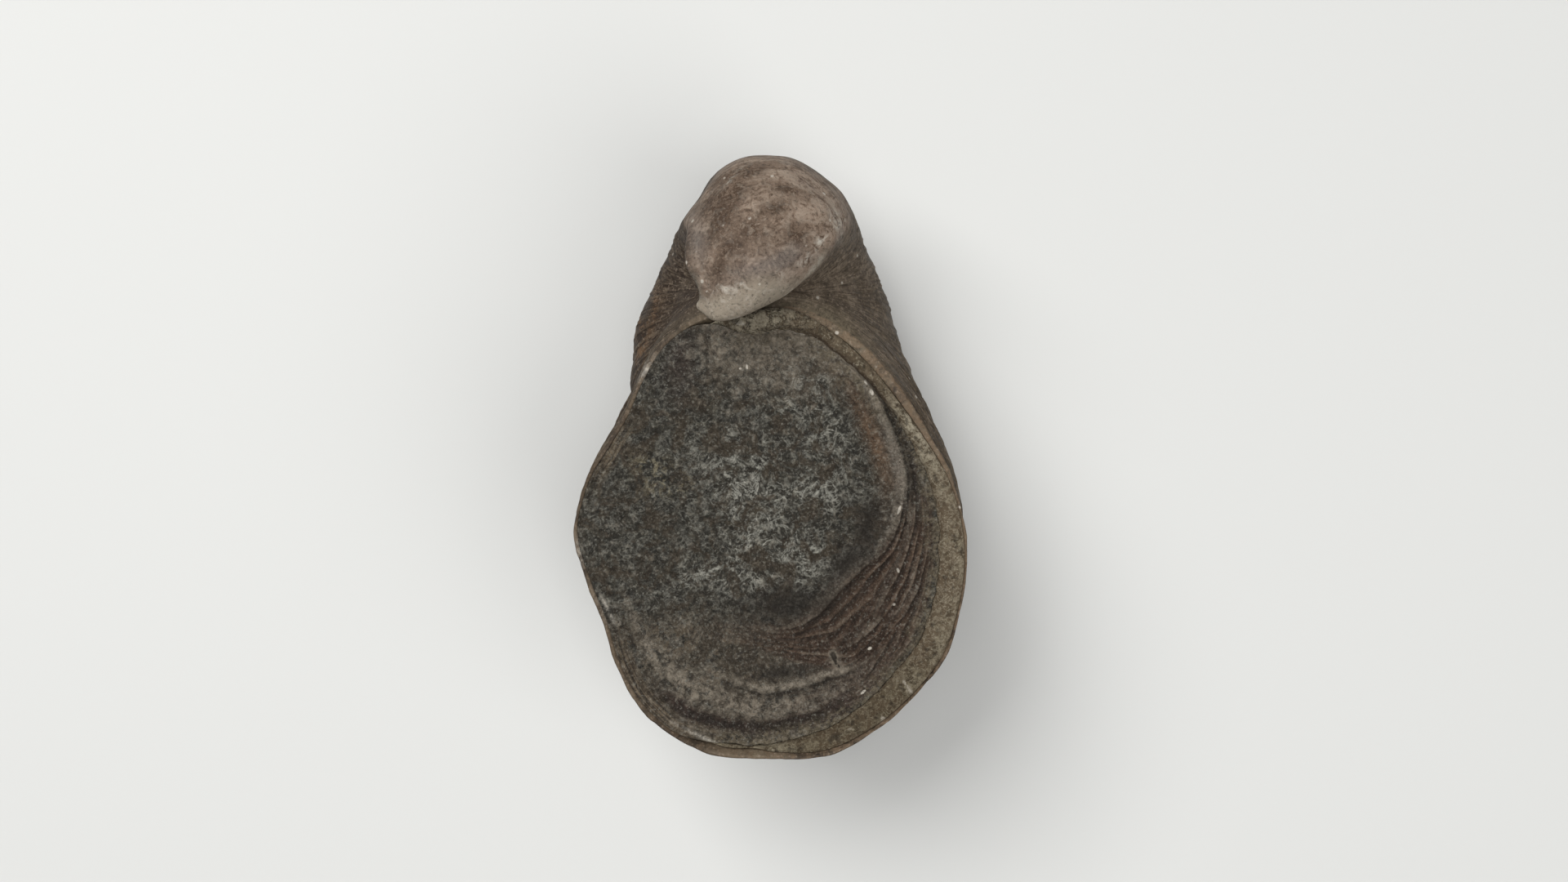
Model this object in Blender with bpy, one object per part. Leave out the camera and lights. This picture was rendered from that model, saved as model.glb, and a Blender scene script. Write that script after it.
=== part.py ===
"""Fossil oyster of the coiled, thick-shelled kind, both valves together, lying on its deep valve.

The deep left valve grew as a tightening coil from the beak to the margin. The flat right valve closes it
like a lid, and hardened sandy sediment fills the space between the two.
"""
import math

import bmesh
import bpy
import numpy as np

for old in list(bpy.data.objects):
    bpy.data.objects.remove(old, do_unlink=True)

MM = 0.001
FULL_TURN = 2 * math.pi

# While it is modelled, the shell has X across, +Y towards the beak and the lid near Z = 0, facing up.
# The left valve coils about a line along X through (Y = COIL_Y, Z = 0).
COIL_Y = 19.6 * MM
MIDDLE_X = -0.5 * MM
MIDDLE_Y = -8.0 * MM

# Coil of the left valve. A turn of 0 is the margin round the lid, and the turn in degrees grows backwards
# through the shell's life to the beak. Width, sideways drift and the gap left at the coil's axis change
# with it: width as a share of the margin's, the others in millimetres.
QUARTER_SHRINK = 0.53
DEPTH = 0.86
BEAK_TURN = 281.0
BEAK_ROUNDING = 22.0
BEAK_BLUNTNESS = 0.6
TURN = (0, 15, 30, 60, 90, 120, 150, 180, 225, 250, 270, 290, 305, 320)
WIDTH = (1.0, 0.97, 0.90, 0.735, 0.62, 0.505, 0.445, 0.40, 0.365, 0.30, 0.25, 0.215, 0.19, 0.17)
DRIFT = (0.0, 0.0, 0.0, 0.2, 0.0, -0.1, 0.0, -0.2, -1.0, -1.2, -2.1, -3.5, -4.9, -6.0)
AXIS_GAP = (3.1, 1.9, 1.1, 0.35, 0.3, 0.3, 0.3, 0.3, 0.25, 0.25, 0.25, 0.25, 0.25, 0.25)

# The beak is turned a little to the left: what stands above the lid leans along Y with its distance
# from the middle.
BEAK_SKEW = 0.25
SKEW_FROM = 1.0 * MM
SKEW_FULL = 6.0 * MM

# Margin and lid edge seen from above, in millimetres, clockwise from the hinge. The margin also waves up
# and down a little, and drops at the hinge, by degrees of turn.
MARGIN = ((-2.7, 17.1), (4.1, 17.2), (8.5, 15.4), (13.8, 10.9), (17.1, 6.4), (19.4, 2.5), (21.8, -2.1),
          (23.2, -6.9), (23.6, -13.0), (22.7, -18.5), (20.9, -23.9), (17.4, -28.5), (12.6, -32.7),
          (6.4, -35.8), (0.4, -36.2), (-5.6, -36.0), (-11.3, -34.0), (-16.3, -29.4), (-18.4, -25.4),
          (-20.0, -20.2), (-22.1, -14.8), (-23.5, -8.6), (-22.9, -5.2), (-21.7, -1.7), (-19.6, 1.8),
          (-17.4, 5.6), (-15.5, 10.0), (-13.0, 13.9), (-9.4, 16.4))
LID_EDGE = ((-2.5, 14.7), (1.5, 15.3), (5.3, 14.1), (9.9, 10.7), (13.7, 6.6), (16.6, 2.1), (18.7, -2.0),
            (20.0, -6.2), (20.3, -10.1), (19.9, -16.0), (18.1, -22.0), (14.2, -27.0), (8.7, -31.7),
            (2.6, -34.1), (-2.0, -34.9), (-6.5, -34.2), (-11.3, -31.9), (-15.2, -27.8), (-17.2, -24.0),
            (-18.8, -18.6), (-20.8, -13.4), (-22.1, -8.3), (-21.1, -3.6), (-18.4, 1.1), (-16.0, 5.5),
            (-13.4, 10.7), (-10.5, 13.9), (-7.4, 15.1))
MARGIN_WAVE = 0.7
WAVE_START = 0.6
HINGE_DROP = 14.0
HINGE_WIDTH = 0.45

# Wall of the left valve: thickness in millimetres by turn from the margin, and where its cavity ends.
WALL_TURN = (0, 8, 20, 45, 70, 110)
WALL = (0.5, 1.4, 2.6, 3.6, 4.4, 4.8)
CAVITY_ROUNDS_FROM = 60.0
CAVITY_ENDS = 100.0
FILL_ENDS = 95.5

# Growth folds across the left valve: turn, height in millimetres at full size, and width in degrees. They
# cross its underside, and are low on its flanks. They waver by so many degrees, so many times round the
# shell, and out of step by a radian for so many degrees of turn.
FOLDS = ((4, 0.3, 2.5), (11, 1.0, 3.2), (21, 0.8, 3.2), (32, 1.3, 4.0), (45, 0.9, 3.6), (57, 1.4, 4.4),
         (72, 1.0, 4.4), (87, 1.5, 5.5), (106, 1.1, 5.5), (128, 1.3, 6.5), (152, 0.9, 7.0), (180, 0.6, 8.0))
WAVERS = ((0.8, 3, 40.0), (0.6, 5, -20.0))
FLANK_FOLDS = 0.2
FLANK_ENDS = 0.1
UNDERSIDE_FROM = 0.9

# Furrow down its left flank: where it lies round the margin, its half-width, and its depth by turn.
FURROW_ANGLE = math.radians(214)
FURROW_WIDTH = math.radians(9)
FURROW_TURN = (0, 12, 40, 90, 125, 150, 330)
FURROW = (0.0, 0.9, 2.0, 2.2, 0.9, 0.0, 0.0)

# Swell of the left flank above the furrow, and how much rounder the young shell's edge was.
SWELL_ANGLE = math.radians(174)
SWELL_WIDTH = math.radians(28)
SWELL_TURN = (0, 6, 12, 21, 31, 45, 60, 75, 90, 120, 160, 330)
SWELL = (0.0, -0.3, -0.9, -1.7, -1.5, -1.9, 0.2, 1.9, 1.1, 0.2, 0.0, 0.0)
YOUNG_FROM = 80.0
YOUNG_FULL = 170.0
YOUNG_ROUNDING = 0.085
YOUNG_FRONT = 0.3

# Lid. Its edge heights, in millimetres, go round by bearing in degrees from the right, anticlockwise.
LID_THICKNESS = 2.4 * MM
LID_EDGE_THICKNESS = 1.3 * MM
LID_UNDERCUT = 1.4 * MM
EDGE_BEARING = (-90, -45, 0, 45, 90, 135, 180, 225, 270, 315, 360)
EDGE_HEIGHT = (-0.2, -0.5, -0.7, -0.7, -0.7, -0.3, 0.0, 0.0, -0.2, -0.5, -0.7)
DISH_DEPTH = 2.0 * MM
PIT_X = 1.5 * MM
PIT_Y = -16.0 * MM
PIT_WIDTH = 7.0 * MM
PIT_DEPTH = 1.0 * MM

# Ledges of the lid: the route of each crest, clockwise from above, then its height, its width outwards and
# its width towards the middle, all in millimetres. The fourth is a groove.
LEDGES = (
    (((4.1, 14.9), (7.9, 12.9), (10.8, 10.1), (12.3, 7.4), (13.8, 4.1), (15.2, 0.5), (16.0, -3.1),
      (15.5, -6.5), (13.6, -11.0), (9.8, -14.1), (6.6, -17.4), (3.6, -20.2), (-2.2, -20.9),
      (-8.1, -20.4)), 1.2, 1.1, 3.0),
    (((16.8, -4.9), (17.1, -7.5), (15.9, -12.1), (13.9, -16.0), (12.4, -20.0), (10.2, -21.9),
      (7.4, -23.2)), 0.6, 0.9, 1.8),
    (((12.6, -24.6), (8.7, -25.9), (5.7, -26.8), (3.4, -27.6), (-0.3, -28.2), (-2.9, -27.6),
      (-8.1, -25.8)), 1.0, 0.9, 2.6),
    (((11.0, -28.7), (8.7, -29.9), (5.7, -31.5), (2.6, -32.1), (-0.5, -32.7), (-4.2, -32.5),
      (-7.4, -31.9), (-10.5, -30.5), (-14.0, -27.7)), -0.55, 1.0, 0.8),
    (((18.2, -10.4), (17.4, -14.3), (17.2, -16.4), (16.1, -18.2), (13.6, -21.6)), 0.4, 0.8, 1.2),
)
LEDGE_FADE = 0.25
LEDGES_STOP = 0.9
ROUTE_STEPS = 8

# Sediment. Its gap to the left valve grows towards the hinge and towards the cavity's end.
GAP = 0.45 * MM
HINGE_GAP = 0.6 * MM
DEEP_GAP = 1.2 * MM

# It shows as a band beside the lid where there is room for it, and as a tongue under the beak.
BAND_FROM = 0.5 * MM
BAND_FULL = 1.2 * MM
BAND_LEAST = 0.5 * MM
BAND_SINK = 0.2 * MM
BAND_BULGE = 0.2 * MM
BAND_LIP_TURN = 1.2
LID_CLEARANCE = 0.7 * MM
UNDER_LID = 0.9 * MM
TONGUE_BEARING = math.radians(87)
TONGUE_WIDTH = 0.2
TONGUE_FROM = 0.2
TONGUE_FULL = 0.5
TONGUE_REACH = 1.0 * MM
TONGUE_RISE = 0.9 * MM
TONGUE_BULGE = 0.3 * MM

# The underside is worn flat where the shell rests.
WORN = 0.8 * MM

# Facets. The rings of the left valve lie closer on the small beak, and those of its cavity by the margin.
AROUND = 48
BEAK_RINGS = 4
SHELL_RINGS = 50
SHELL_POWER = 0.7
CAVITY_RINGS = 9
CAVITY_POWER = 1.7
LID_RINGS = 18
UNDER_RINGS = 4
FLOOR_RINGS = 4
BAND_RINGS = 5

SHRINK_RATE = -math.log(QUARTER_SHRINK) / 90


def smooth(at, knots, values):
    """Value of a smooth curve through the given knots."""
    knots = np.asarray(knots, float)
    values = np.asarray(values, float)
    slopes = np.gradient(values, knots)
    at = np.clip(at, knots[0], knots[-1])
    low = np.clip(np.searchsorted(knots, at) - 1, 0, len(knots) - 2)
    span = knots[low + 1] - knots[low]
    u = (at - knots[low]) / span
    start = (1 + 2 * u) * (1 - u) ** 2 * values[low] + u * (1 - u) ** 2 * span * slopes[low]
    end = u * u * (3 - 2 * u) * values[low + 1] - u * u * (1 - u) * span * slopes[low + 1]
    return start + end


def step(low, high, value):
    """0 below low, 1 above high, and smooth between them."""
    u = np.clip((value - low) / (high - low), 0, 1)
    return u * u * (3 - 2 * u)


def bump(value, middle, width):
    """1 at the middle, falling to nothing about two widths away."""
    return np.exp(-((value - middle) / width) ** 2)


def polar(x, y):
    """Bearing and distance from the middle of the shell."""
    return np.arctan2(y - MIDDLE_Y, x - MIDDLE_X) % FULL_TURN, np.hypot(x - MIDDLE_X, y - MIDDLE_Y)


def outline_radius(points, bearing):
    """Distance from the middle of the shell to a closed outline."""
    turn, radius = polar(*(np.array(points).T * MM))
    order = np.argsort(turn)
    knots = np.concatenate([turn[order] + shift for shift in (-FULL_TURN, 0, FULL_TURN)])
    return smooth(bearing % FULL_TURN, knots, np.tile(radius[order], 3))


HINGE_REACH = COIL_Y - MIDDLE_Y - outline_radius(MARGIN, math.pi / 2)
FRONT_REACH = COIL_Y - MIDDLE_Y + outline_radius(MARGIN, 1.5 * math.pi)


def growth_relief(angle, turn):
    """Height of the folds, less the furrow, before the coil shrinks them."""
    ahead = -np.sin(angle)
    waver = sum(size * np.sin(count * angle + turn / spread) for size, count, spread in WAVERS)
    folds = sum(height * bump(turn - waver, place, width) for place, height, width in FOLDS)
    underside = step(FLANK_ENDS, UNDERSIDE_FROM, ahead)
    folds = folds * (FLANK_FOLDS * step(-1, 0, ahead) * (1 - underside) + underside)
    furrow = bump(angle % FULL_TURN, FURROW_ANGLE, FURROW_WIDTH) * smooth(turn, FURROW_TURN, FURROW)
    swell = bump(angle % FULL_TURN, SWELL_ANGLE, SWELL_WIDTH) * smooth(turn, SWELL_TURN, SWELL)
    return (folds - furrow + swell) * MM


def coil(angle, turn, inset=0.0, keep=1.0, relief=0.0):
    """Points at an angle round the growing edge and a turn along the coil.

    inset is a distance inwards from the outer face, and keep then draws the ring in to its middle.
    """
    young = YOUNG_ROUNDING * step(YOUNG_FROM, YOUNG_FULL, turn) * step(0, YOUNG_FRONT, -np.sin(angle))
    radius = outline_radius(MARGIN, angle) * (1 - young * np.sin(2 * angle) ** 2)
    size = np.exp(-SHRINK_RATE * turn)
    gap = smooth(turn, TURN, AXIS_GAP) * MM
    stretch = (FRONT_REACH * size - gap) / (FRONT_REACH - HINGE_REACH)
    middle = gap + (COIL_Y - MIDDLE_Y - HINGE_REACH) * stretch
    across = radius * np.cos(angle) * smooth(turn, TURN, WIDTH)
    ahead = -radius * np.sin(angle) * stretch
    length = np.hypot(across, ahead)
    share = (length + relief * size - inset) * keep / length
    x = MIDDLE_X + smooth(turn, TURN, DRIFT) * MM + across * share
    reach = middle + ahead * share
    y = COIL_Y - reach * np.cos(np.radians(turn))
    z = -DEPTH * reach * np.sin(np.radians(turn))
    y = y + BEAK_SKEW * (x - MIDDLE_X) * step(SKEW_FROM, SKEW_FULL, z)
    return np.stack([x, y, z], axis=-1)


def margin_turn(angle):
    """Where the margin lies along the coil: a gentle wave, dropping at the hinge."""
    hinge = bump(angle % FULL_TURN, math.pi / 2, HINGE_WIDTH)
    return MARGIN_WAVE * np.sin(2 * angle + WAVE_START) + HINGE_DROP * hinge


def cavity(angle, turn, margin, clearance, ends):
    """The wall of the left valve's cavity, which closes in a round end under the umbo."""
    closing = np.clip((turn - CAVITY_ROUNDS_FROM) / (ends - CAVITY_ROUNDS_FROM), 0, 1)
    wall = smooth(turn - margin, WALL_TURN, WALL) * MM
    return coil(angle, turn, wall + clearance, np.sqrt(1 - closing ** 2))


def left_valve_shape(angle, ring):
    """Rings from the beak's end, over the coil to the margin, and back down inside the cavity."""
    margin = margin_turn(angle)
    beak = np.clip(1 - ring / BEAK_RINGS, 0, 1) * math.pi / 2
    beak_size = math.exp(-SHRINK_RATE * BEAK_TURN)
    along = np.clip((ring - BEAK_RINGS) / SHELL_RINGS, 0, 1)
    size = (beak_size ** SHELL_POWER * (1 - along) + along) ** (1 / SHELL_POWER)
    turn = margin - np.log(size) / SHRINK_RATE * (1 - margin / BEAK_TURN)
    outer = coil(angle, turn + BEAK_ROUNDING * np.sin(beak), 0, np.cos(beak) ** BEAK_BLUNTNESS,
                 growth_relief(angle, turn))
    inside = np.clip((ring - BEAK_RINGS - SHELL_RINGS - 1) / (CAVITY_RINGS - 1), 0, 1) ** CAVITY_POWER
    inner = cavity(angle, margin + (CAVITY_ENDS - margin) * inside, margin, 0, CAVITY_ENDS)
    return np.where((ring > BEAK_RINGS + SHELL_RINGS)[:, None], inner, outer)


def lid_edge_height(bearing):
    """Height of the lid's upper edge."""
    return smooth((np.degrees(bearing) + 90) % 360 - 90, EDGE_BEARING, EDGE_HEIGHT) * MM


def lid_base(x, y):
    """The lid's dished upper face without its ledges."""
    bearing, distance = polar(x, y)
    share = np.clip(distance / outline_radius(LID_EDGE, bearing), 0, 1)
    pit = np.exp(-((x - PIT_X) ** 2 + (y - PIT_Y) ** 2) / PIT_WIDTH ** 2)
    return lid_edge_height(bearing) * share ** 2 - (1 - share ** 2) * (DISH_DEPTH + PIT_DEPTH * pit)


def ledge_relief(x, y, route, height, outer, inner):
    """A ridge along a clockwise route that fades out at both ends, with a width of its own on each side."""
    corners = np.array(route) * MM
    spot = np.linspace(0, len(corners) - 1, ROUTE_STEPS * len(corners))
    line = np.stack([smooth(spot, np.arange(len(corners)), column) for column in corners.T])
    along = np.gradient(line, axis=1)
    away = np.stack([x, y])[:, :, None] - line[:, None, :]
    nearest = np.argmin((away ** 2).sum(axis=0), axis=1)
    away = away[:, np.arange(len(x)), nearest]
    outside = along[1][nearest] * away[0] < along[0][nearest] * away[1]
    width = np.where(outside, outer, inner) * MM
    end = np.minimum(nearest, len(spot) - 1 - nearest) / len(spot)
    return height * MM * step(0, LEDGE_FADE, end) * bump(np.hypot(*away), 0, width)


def lid_top(x, y):
    """The lid's upper face."""
    bearing, distance = polar(x, y)
    share = distance / outline_radius(LID_EDGE, bearing)
    ledges = sum(ledge_relief(x, y, *ledge) for ledge in LEDGES)
    return lid_base(x, y) + ledges * step(1, LEDGES_STOP, share)


def lid_under(x, y):
    """The lid's lower face."""
    bearing, distance = polar(x, y)
    share = np.clip(distance / (outline_radius(LID_EDGE, bearing) - LID_UNDERCUT), 0, 1)
    return lid_base(x, y) - LID_THICKNESS + (LID_THICKNESS - LID_EDGE_THICKNESS) * share ** 3


def right_valve_shape(angle, ring):
    """Rings from the middle of the lid's upper face out to its edge, and back under it."""
    edge = outline_radius(LID_EDGE, angle)
    above = ring <= LID_RINGS
    back = (LID_RINGS + UNDER_RINGS + 1 - ring) / UNDER_RINGS
    distance = np.where(above, edge * ring / LID_RINGS, (edge - LID_UNDERCUT) * back)
    x = MIDDLE_X + distance * np.cos(angle)
    y = MIDDLE_Y + distance * np.sin(angle)
    return np.stack([x, y, np.where(above, lid_top(x, y), lid_under(x, y))], axis=-1)


def sediment_fill_shape(angle, ring):
    """Rings from the middle of its floor under the lid, over the band beside it, and down the cavity."""
    margin = margin_turn(angle)
    rim = coil(angle, margin)
    bearing, rim_distance = polar(rim[:, 0], rim[:, 1])
    lid = outline_radius(LID_EDGE, bearing)
    lid_height = lid_edge_height(bearing)
    tongue = bump(bearing, TONGUE_BEARING, TONGUE_WIDTH)
    room = rim_distance - WALL[0] * MM - GAP - lid - GAP
    shows = np.maximum(step(BAND_FROM, BAND_FULL, room), step(TONGUE_FROM, TONGUE_FULL, tongue))

    # The lip is the sediment's uppermost ring that still follows the cavity's wall.
    wall_gap = GAP + HINGE_GAP * step(0, 1, np.sin(angle))
    low = lid_height - LID_EDGE_THICKNESS - GAP
    low_turn = np.degrees(np.arcsin(-low / (DEPTH * (COIL_Y - rim[:, 1] + WALL[1] * MM))))
    lip_turn = low_turn + (margin + BAND_LIP_TURN - low_turn) * shows
    lip = cavity(angle, lip_turn, margin, wall_gap, CAVITY_ENDS)
    lip_bearing, lip_distance = polar(lip[:, 0], lip[:, 1])
    lip_height = lip[:, 2]
    tongue = tongue * shows ** 2
    outer = lip_distance + tongue * TONGUE_REACH
    outer_height = lip_height + (rim[:, 2] - BAND_SINK + tongue * TONGUE_RISE - lip_height) * shows
    inner = outer - BAND_LEAST
    inner = np.where(shows > 0, np.minimum(lid + LID_CLEARANCE, inner), inner)
    inner_height = low + (lid_height - BAND_SINK + tongue * TONGUE_RISE - low) * shows
    corner = np.minimum(lid - UNDER_LID, inner - BAND_LEAST)
    bulge = (BAND_BULGE + TONGUE_BULGE * tongue) * shows
    middle_height = (inner_height + outer_height) / 2 + bulge
    neck_height = np.where(tongue > TONGUE_FROM, rim[:, 2] + GAP, (lip_height + outer_height) / 2)
    band = ((corner, low), (inner, inner_height), ((inner + outer) / 2, middle_height),
            (outer, outer_height), (lip_distance, neck_height), (lip_distance, lip_height))

    distance = corner * ring / FLOOR_RINGS
    height = np.full_like(distance, np.nan)
    for place, (far, tall) in enumerate(band):
        here = ring == FLOOR_RINGS + place
        distance = np.where(here, far, distance)
        height = np.where(here, tall, height)
    x = MIDDLE_X + distance * np.cos(lip_bearing)
    y = MIDDLE_Y + distance * np.sin(lip_bearing)
    under = lid_under(x, y) - GAP
    covered = (ring <= FLOOR_RINGS) | ((shows == 0) & (ring < FLOOR_RINGS + BAND_RINGS - 1))
    height = np.where(ring < FLOOR_RINGS, under, np.where(covered, np.minimum(height, under), height))

    inside = np.clip((ring - FLOOR_RINGS - BAND_RINGS) / CAVITY_RINGS, 0, 1) ** CAVITY_POWER
    turn = lip_turn + (FILL_ENDS - lip_turn) * inside
    side = cavity(angle, turn, margin, wall_gap + (DEEP_GAP - GAP) * inside, FILL_ENDS)
    return np.where((ring > FLOOR_RINGS + BAND_RINGS)[:, None], side, np.stack([x, y, height], axis=-1))


def closed_body(name, rings, shape, colour, roughness):
    """A sphere of rings, numbered from its top pole, with each vertex moved to shape(angle, ring)."""
    body = bmesh.new()
    bmesh.ops.create_uvsphere(body, u_segments=AROUND, v_segments=rings, radius=1)
    start = np.array([vertex.co for vertex in body.verts])
    ring = np.rint(np.arccos(np.clip(start[:, 2], -1, 1)) / math.pi * rings)
    angle = np.arctan2(start[:, 1], start[:, 0])
    for vertex, place in zip(body.verts, shape(angle, ring)):
        vertex.co = place
    bmesh.ops.recalc_face_normals(body, faces=body.faces)
    mesh = bpy.data.meshes.new(name)
    body.to_mesh(mesh)
    body.free()
    mesh.shade_smooth()
    material = bpy.data.materials.new(name)
    material.use_nodes = True
    shader = material.node_tree.nodes["Principled BSDF"]
    shader.inputs["Base Color"].default_value = (*colour, 1)
    shader.inputs["Roughness"].default_value = roughness
    mesh.materials.append(material)
    piece = bpy.data.objects.new(name, mesh)
    bpy.context.collection.objects.link(piece)
    return piece


left_valve = closed_body("left_valve", BEAK_RINGS + SHELL_RINGS + CAVITY_RINGS, left_valve_shape,
                         (0.16, 0.125, 0.09), 0.7)
right_valve = closed_body("right_valve", LID_RINGS + UNDER_RINGS + 1, right_valve_shape,
                          (0.09, 0.082, 0.07), 0.75)
sediment_fill = closed_body("sediment_fill", FLOOR_RINGS + BAND_RINGS + CAVITY_RINGS, sediment_fill_shape,
                            (0.2, 0.17, 0.11), 0.9)

# The shell rests on its worn underside, with the middle of its outline over the origin.
corners = np.array([vertex.co for vertex in left_valve.data.vertices])
floor = corners[:, 2].min() + WORN
middle = (corners.min(axis=0) + corners.max(axis=0)) / 2
for piece in (left_valve, right_valve, sediment_fill):
    for vertex in piece.data.vertices:
        vertex.co = (vertex.co.x - middle[0], vertex.co.y - middle[1], max(vertex.co.z - floor, 0))
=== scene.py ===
import math

import bmesh
import bpy
import numpy as np
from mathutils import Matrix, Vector, noise


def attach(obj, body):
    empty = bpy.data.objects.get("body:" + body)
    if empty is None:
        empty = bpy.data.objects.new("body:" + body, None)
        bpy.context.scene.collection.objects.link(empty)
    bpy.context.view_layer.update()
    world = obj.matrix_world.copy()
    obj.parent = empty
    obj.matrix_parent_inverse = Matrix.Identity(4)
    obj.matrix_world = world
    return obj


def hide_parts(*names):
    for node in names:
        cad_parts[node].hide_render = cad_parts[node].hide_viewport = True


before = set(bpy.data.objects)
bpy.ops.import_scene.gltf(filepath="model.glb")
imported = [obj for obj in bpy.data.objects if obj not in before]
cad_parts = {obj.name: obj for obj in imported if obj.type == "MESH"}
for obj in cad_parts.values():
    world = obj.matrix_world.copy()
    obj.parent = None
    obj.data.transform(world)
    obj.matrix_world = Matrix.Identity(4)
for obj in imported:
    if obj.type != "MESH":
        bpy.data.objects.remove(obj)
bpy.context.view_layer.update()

# Left valve. The deep valve is calcite, laid down from the beak in layers as a tightening coil. Time has worn
# its umbo pale and smooth, and left dark fibrous growth lines on its flanks. It holds the other two pieces.
MM = 0.001
FULL_TURN = 2 * math.pi

# The shell's own frame has X across, +Y towards the beak and the lid near Z = 0. SHELL_PLACE is its origin.
SHELL_PLACE = np.array((-0.103, -0.159, 27.163)) * MM
COIL_Y = 19.6 * MM
MIDDLE_X = -0.5 * MM
MIDDLE_Y = -8.0 * MM

# The coil turns about a line along X. A turn of 0 is the margin, and the turn grows backwards to the beak.
QUARTER_SHRINK = 0.53
DEPTH = 0.86
BEAK_TURN = 281.0
BEAK_ROUNDING = 22.0
BEAK_BLUNTNESS = 0.6
TURN = (0, 15, 30, 60, 90, 120, 150, 180, 225, 250, 270, 290, 305, 320)
WIDTH = (1.0, 0.97, 0.90, 0.735, 0.62, 0.505, 0.445, 0.40, 0.365, 0.30, 0.25, 0.215, 0.19, 0.17)
DRIFT = (0.0, 0.0, 0.0, 0.2, 0.0, -0.1, 0.0, -0.2, -1.0, -1.2, -2.1, -3.5, -4.9, -6.0)
AXIS_GAP = (3.1, 1.9, 1.1, 0.35, 0.3, 0.3, 0.3, 0.3, 0.25, 0.25, 0.25, 0.25, 0.25, 0.25)
BEAK_SKEW = 0.25
SKEW_FROM = 1.0 * MM
SKEW_FULL = 6.0 * MM

# Margin seen from above, in millimetres, its wave, and how it dips at the hinge.
MARGIN = ((-2.7, 17.1), (4.1, 17.2), (8.5, 15.4), (13.8, 10.9), (17.1, 6.4), (19.4, 2.5), (21.8, -2.1),
          (23.2, -6.9), (23.6, -13.0), (22.7, -18.5), (20.9, -23.9), (17.4, -28.5), (12.6, -32.7),
          (6.4, -35.8), (0.4, -36.2), (-5.6, -36.0), (-11.3, -34.0), (-16.3, -29.4), (-18.4, -25.4),
          (-20.0, -20.2), (-22.1, -14.8), (-23.5, -8.6), (-22.9, -5.2), (-21.7, -1.7), (-19.6, 1.8),
          (-17.4, 5.6), (-15.5, 10.0), (-13.0, 13.9), (-9.4, 16.4))
MARGIN_WAVE = 0.7
WAVE_START = 0.6
HINGE_DROP = 14.0
HINGE_WIDTH = 0.45

# Wall thickness in millimetres: at the rim by bearing in degrees, and below it by turn from the margin.
RIM_BEARING = (-180, -135, -90, -60, 0, 25, 50, 80, 115, 145, 180)
RIM_WALL = (0.3, 0.4, 0.45, 0.22, 0.25, 0.6, 1.1, 0.9, 0.5, 0.4, 0.3)
WALL_TURN = (0, 8, 20, 45, 70, 110)
WALL = (0.5, 1.4, 2.6, 3.6, 4.4, 4.8)
CAVITY_ROUNDS_FROM = 60.0
CAVITY_ENDS = 100.0

# Growth folds: turn, height in millimetres and width in degrees. They cross the underside, are low on the
# flanks and waver as they go round.
FOLDS = ((4, 0.3, 2.5), (11, 1.0, 3.2), (21, 0.8, 3.2), (32, 1.3, 4.0), (45, 0.9, 3.6), (57, 1.4, 4.4),
         (72, 1.0, 4.4), (87, 1.5, 5.5), (106, 1.1, 5.5), (128, 1.3, 6.5), (152, 0.9, 7.0), (180, 0.6, 8.0))
WAVERS = ((0.8, 3, 40.0), (0.6, 5, -20.0))
FLANK_FOLDS = 0.2
FLANK_ENDS = 0.1
UNDERSIDE_FROM = 0.9

# Furrow and swell of the left flank, and how much rounder the young shell's edge was.
FURROW_ANGLE = math.radians(214)
FURROW_WIDTH = math.radians(9)
FURROW_TURN = (0, 12, 40, 90, 125, 150, 330)
FURROW = (0.0, 0.9, 2.0, 2.2, 0.9, 0.0, 0.0)
SWELL_ANGLE = math.radians(174)
SWELL_WIDTH = math.radians(28)
SWELL_TURN = (0, 6, 12, 21, 31, 45, 60, 75, 90, 120, 160, 330)
SWELL = (0.0, -0.3, -0.9, -1.7, -1.5, -1.9, 0.2, 1.9, 1.1, 0.2, 0.0, 0.0)
YOUNG_FROM = 80.0
YOUNG_FULL = 170.0
YOUNG_ROUNDING = 0.085
YOUNG_FRONT = 0.3

# Flaking growth layers: how many degrees each takes up, their height and how far they wander. Dents and grit
# roughen the whole valve. From one turn to another, all of these are worn low towards the umbo.
FLAKE_TURN = 2.3
FLAKE_HEIGHT = 0.24 * MM
FLAKE_WARP = 1.1
DENT_SIZE = 5.0 * MM
DENT_HEIGHT = 0.16 * MM
GRIT_SIZE = 1.1 * MM
GRIT_HEIGHT = 0.05 * MM
WORN_FROM = 120.0
WORN_FULL = 170.0

# Stains on the umbo and beside the margin: middle, half lengths both ways in millimetres, and tilt.
BROWN_STAINS = ((-4.6, 31.0, 2.8, 1.2, 50), (-5.8, 27.6, 1.3, 3.4, -28), (-2.2, 26.3, 2.0, 1.3, -10),
                (-6.0, 21.4, 0.8, 2.8, -12), (0.4, 28.8, 2.4, 0.9, 20), (-3.2, 33.6, 4.0, 0.8, 15),
                (-4.2, 24.4, 1.5, 0.8, 20), (3.2, 25.6, 1.4, 1.9, 30), (1.8, 31.4, 2.6, 0.7, -15),
                (-7.6, 29.6, 0.9, 1.9, -35))
GREY_STAINS = ((-0.9, 21.9, 4.0, 1.2, 16), (-8.6, 25.4, 1.2, 3.2, 10), (2.2, 23.4, 1.8, 0.9, 35))
TAN_STAINS = ((4.4, 29.4, 4.6, 5.0, 0), (2.5, 32.6, 5.0, 1.6, -20), (-2.4, 29.0, 1.1, 2.0, -30))
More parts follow.
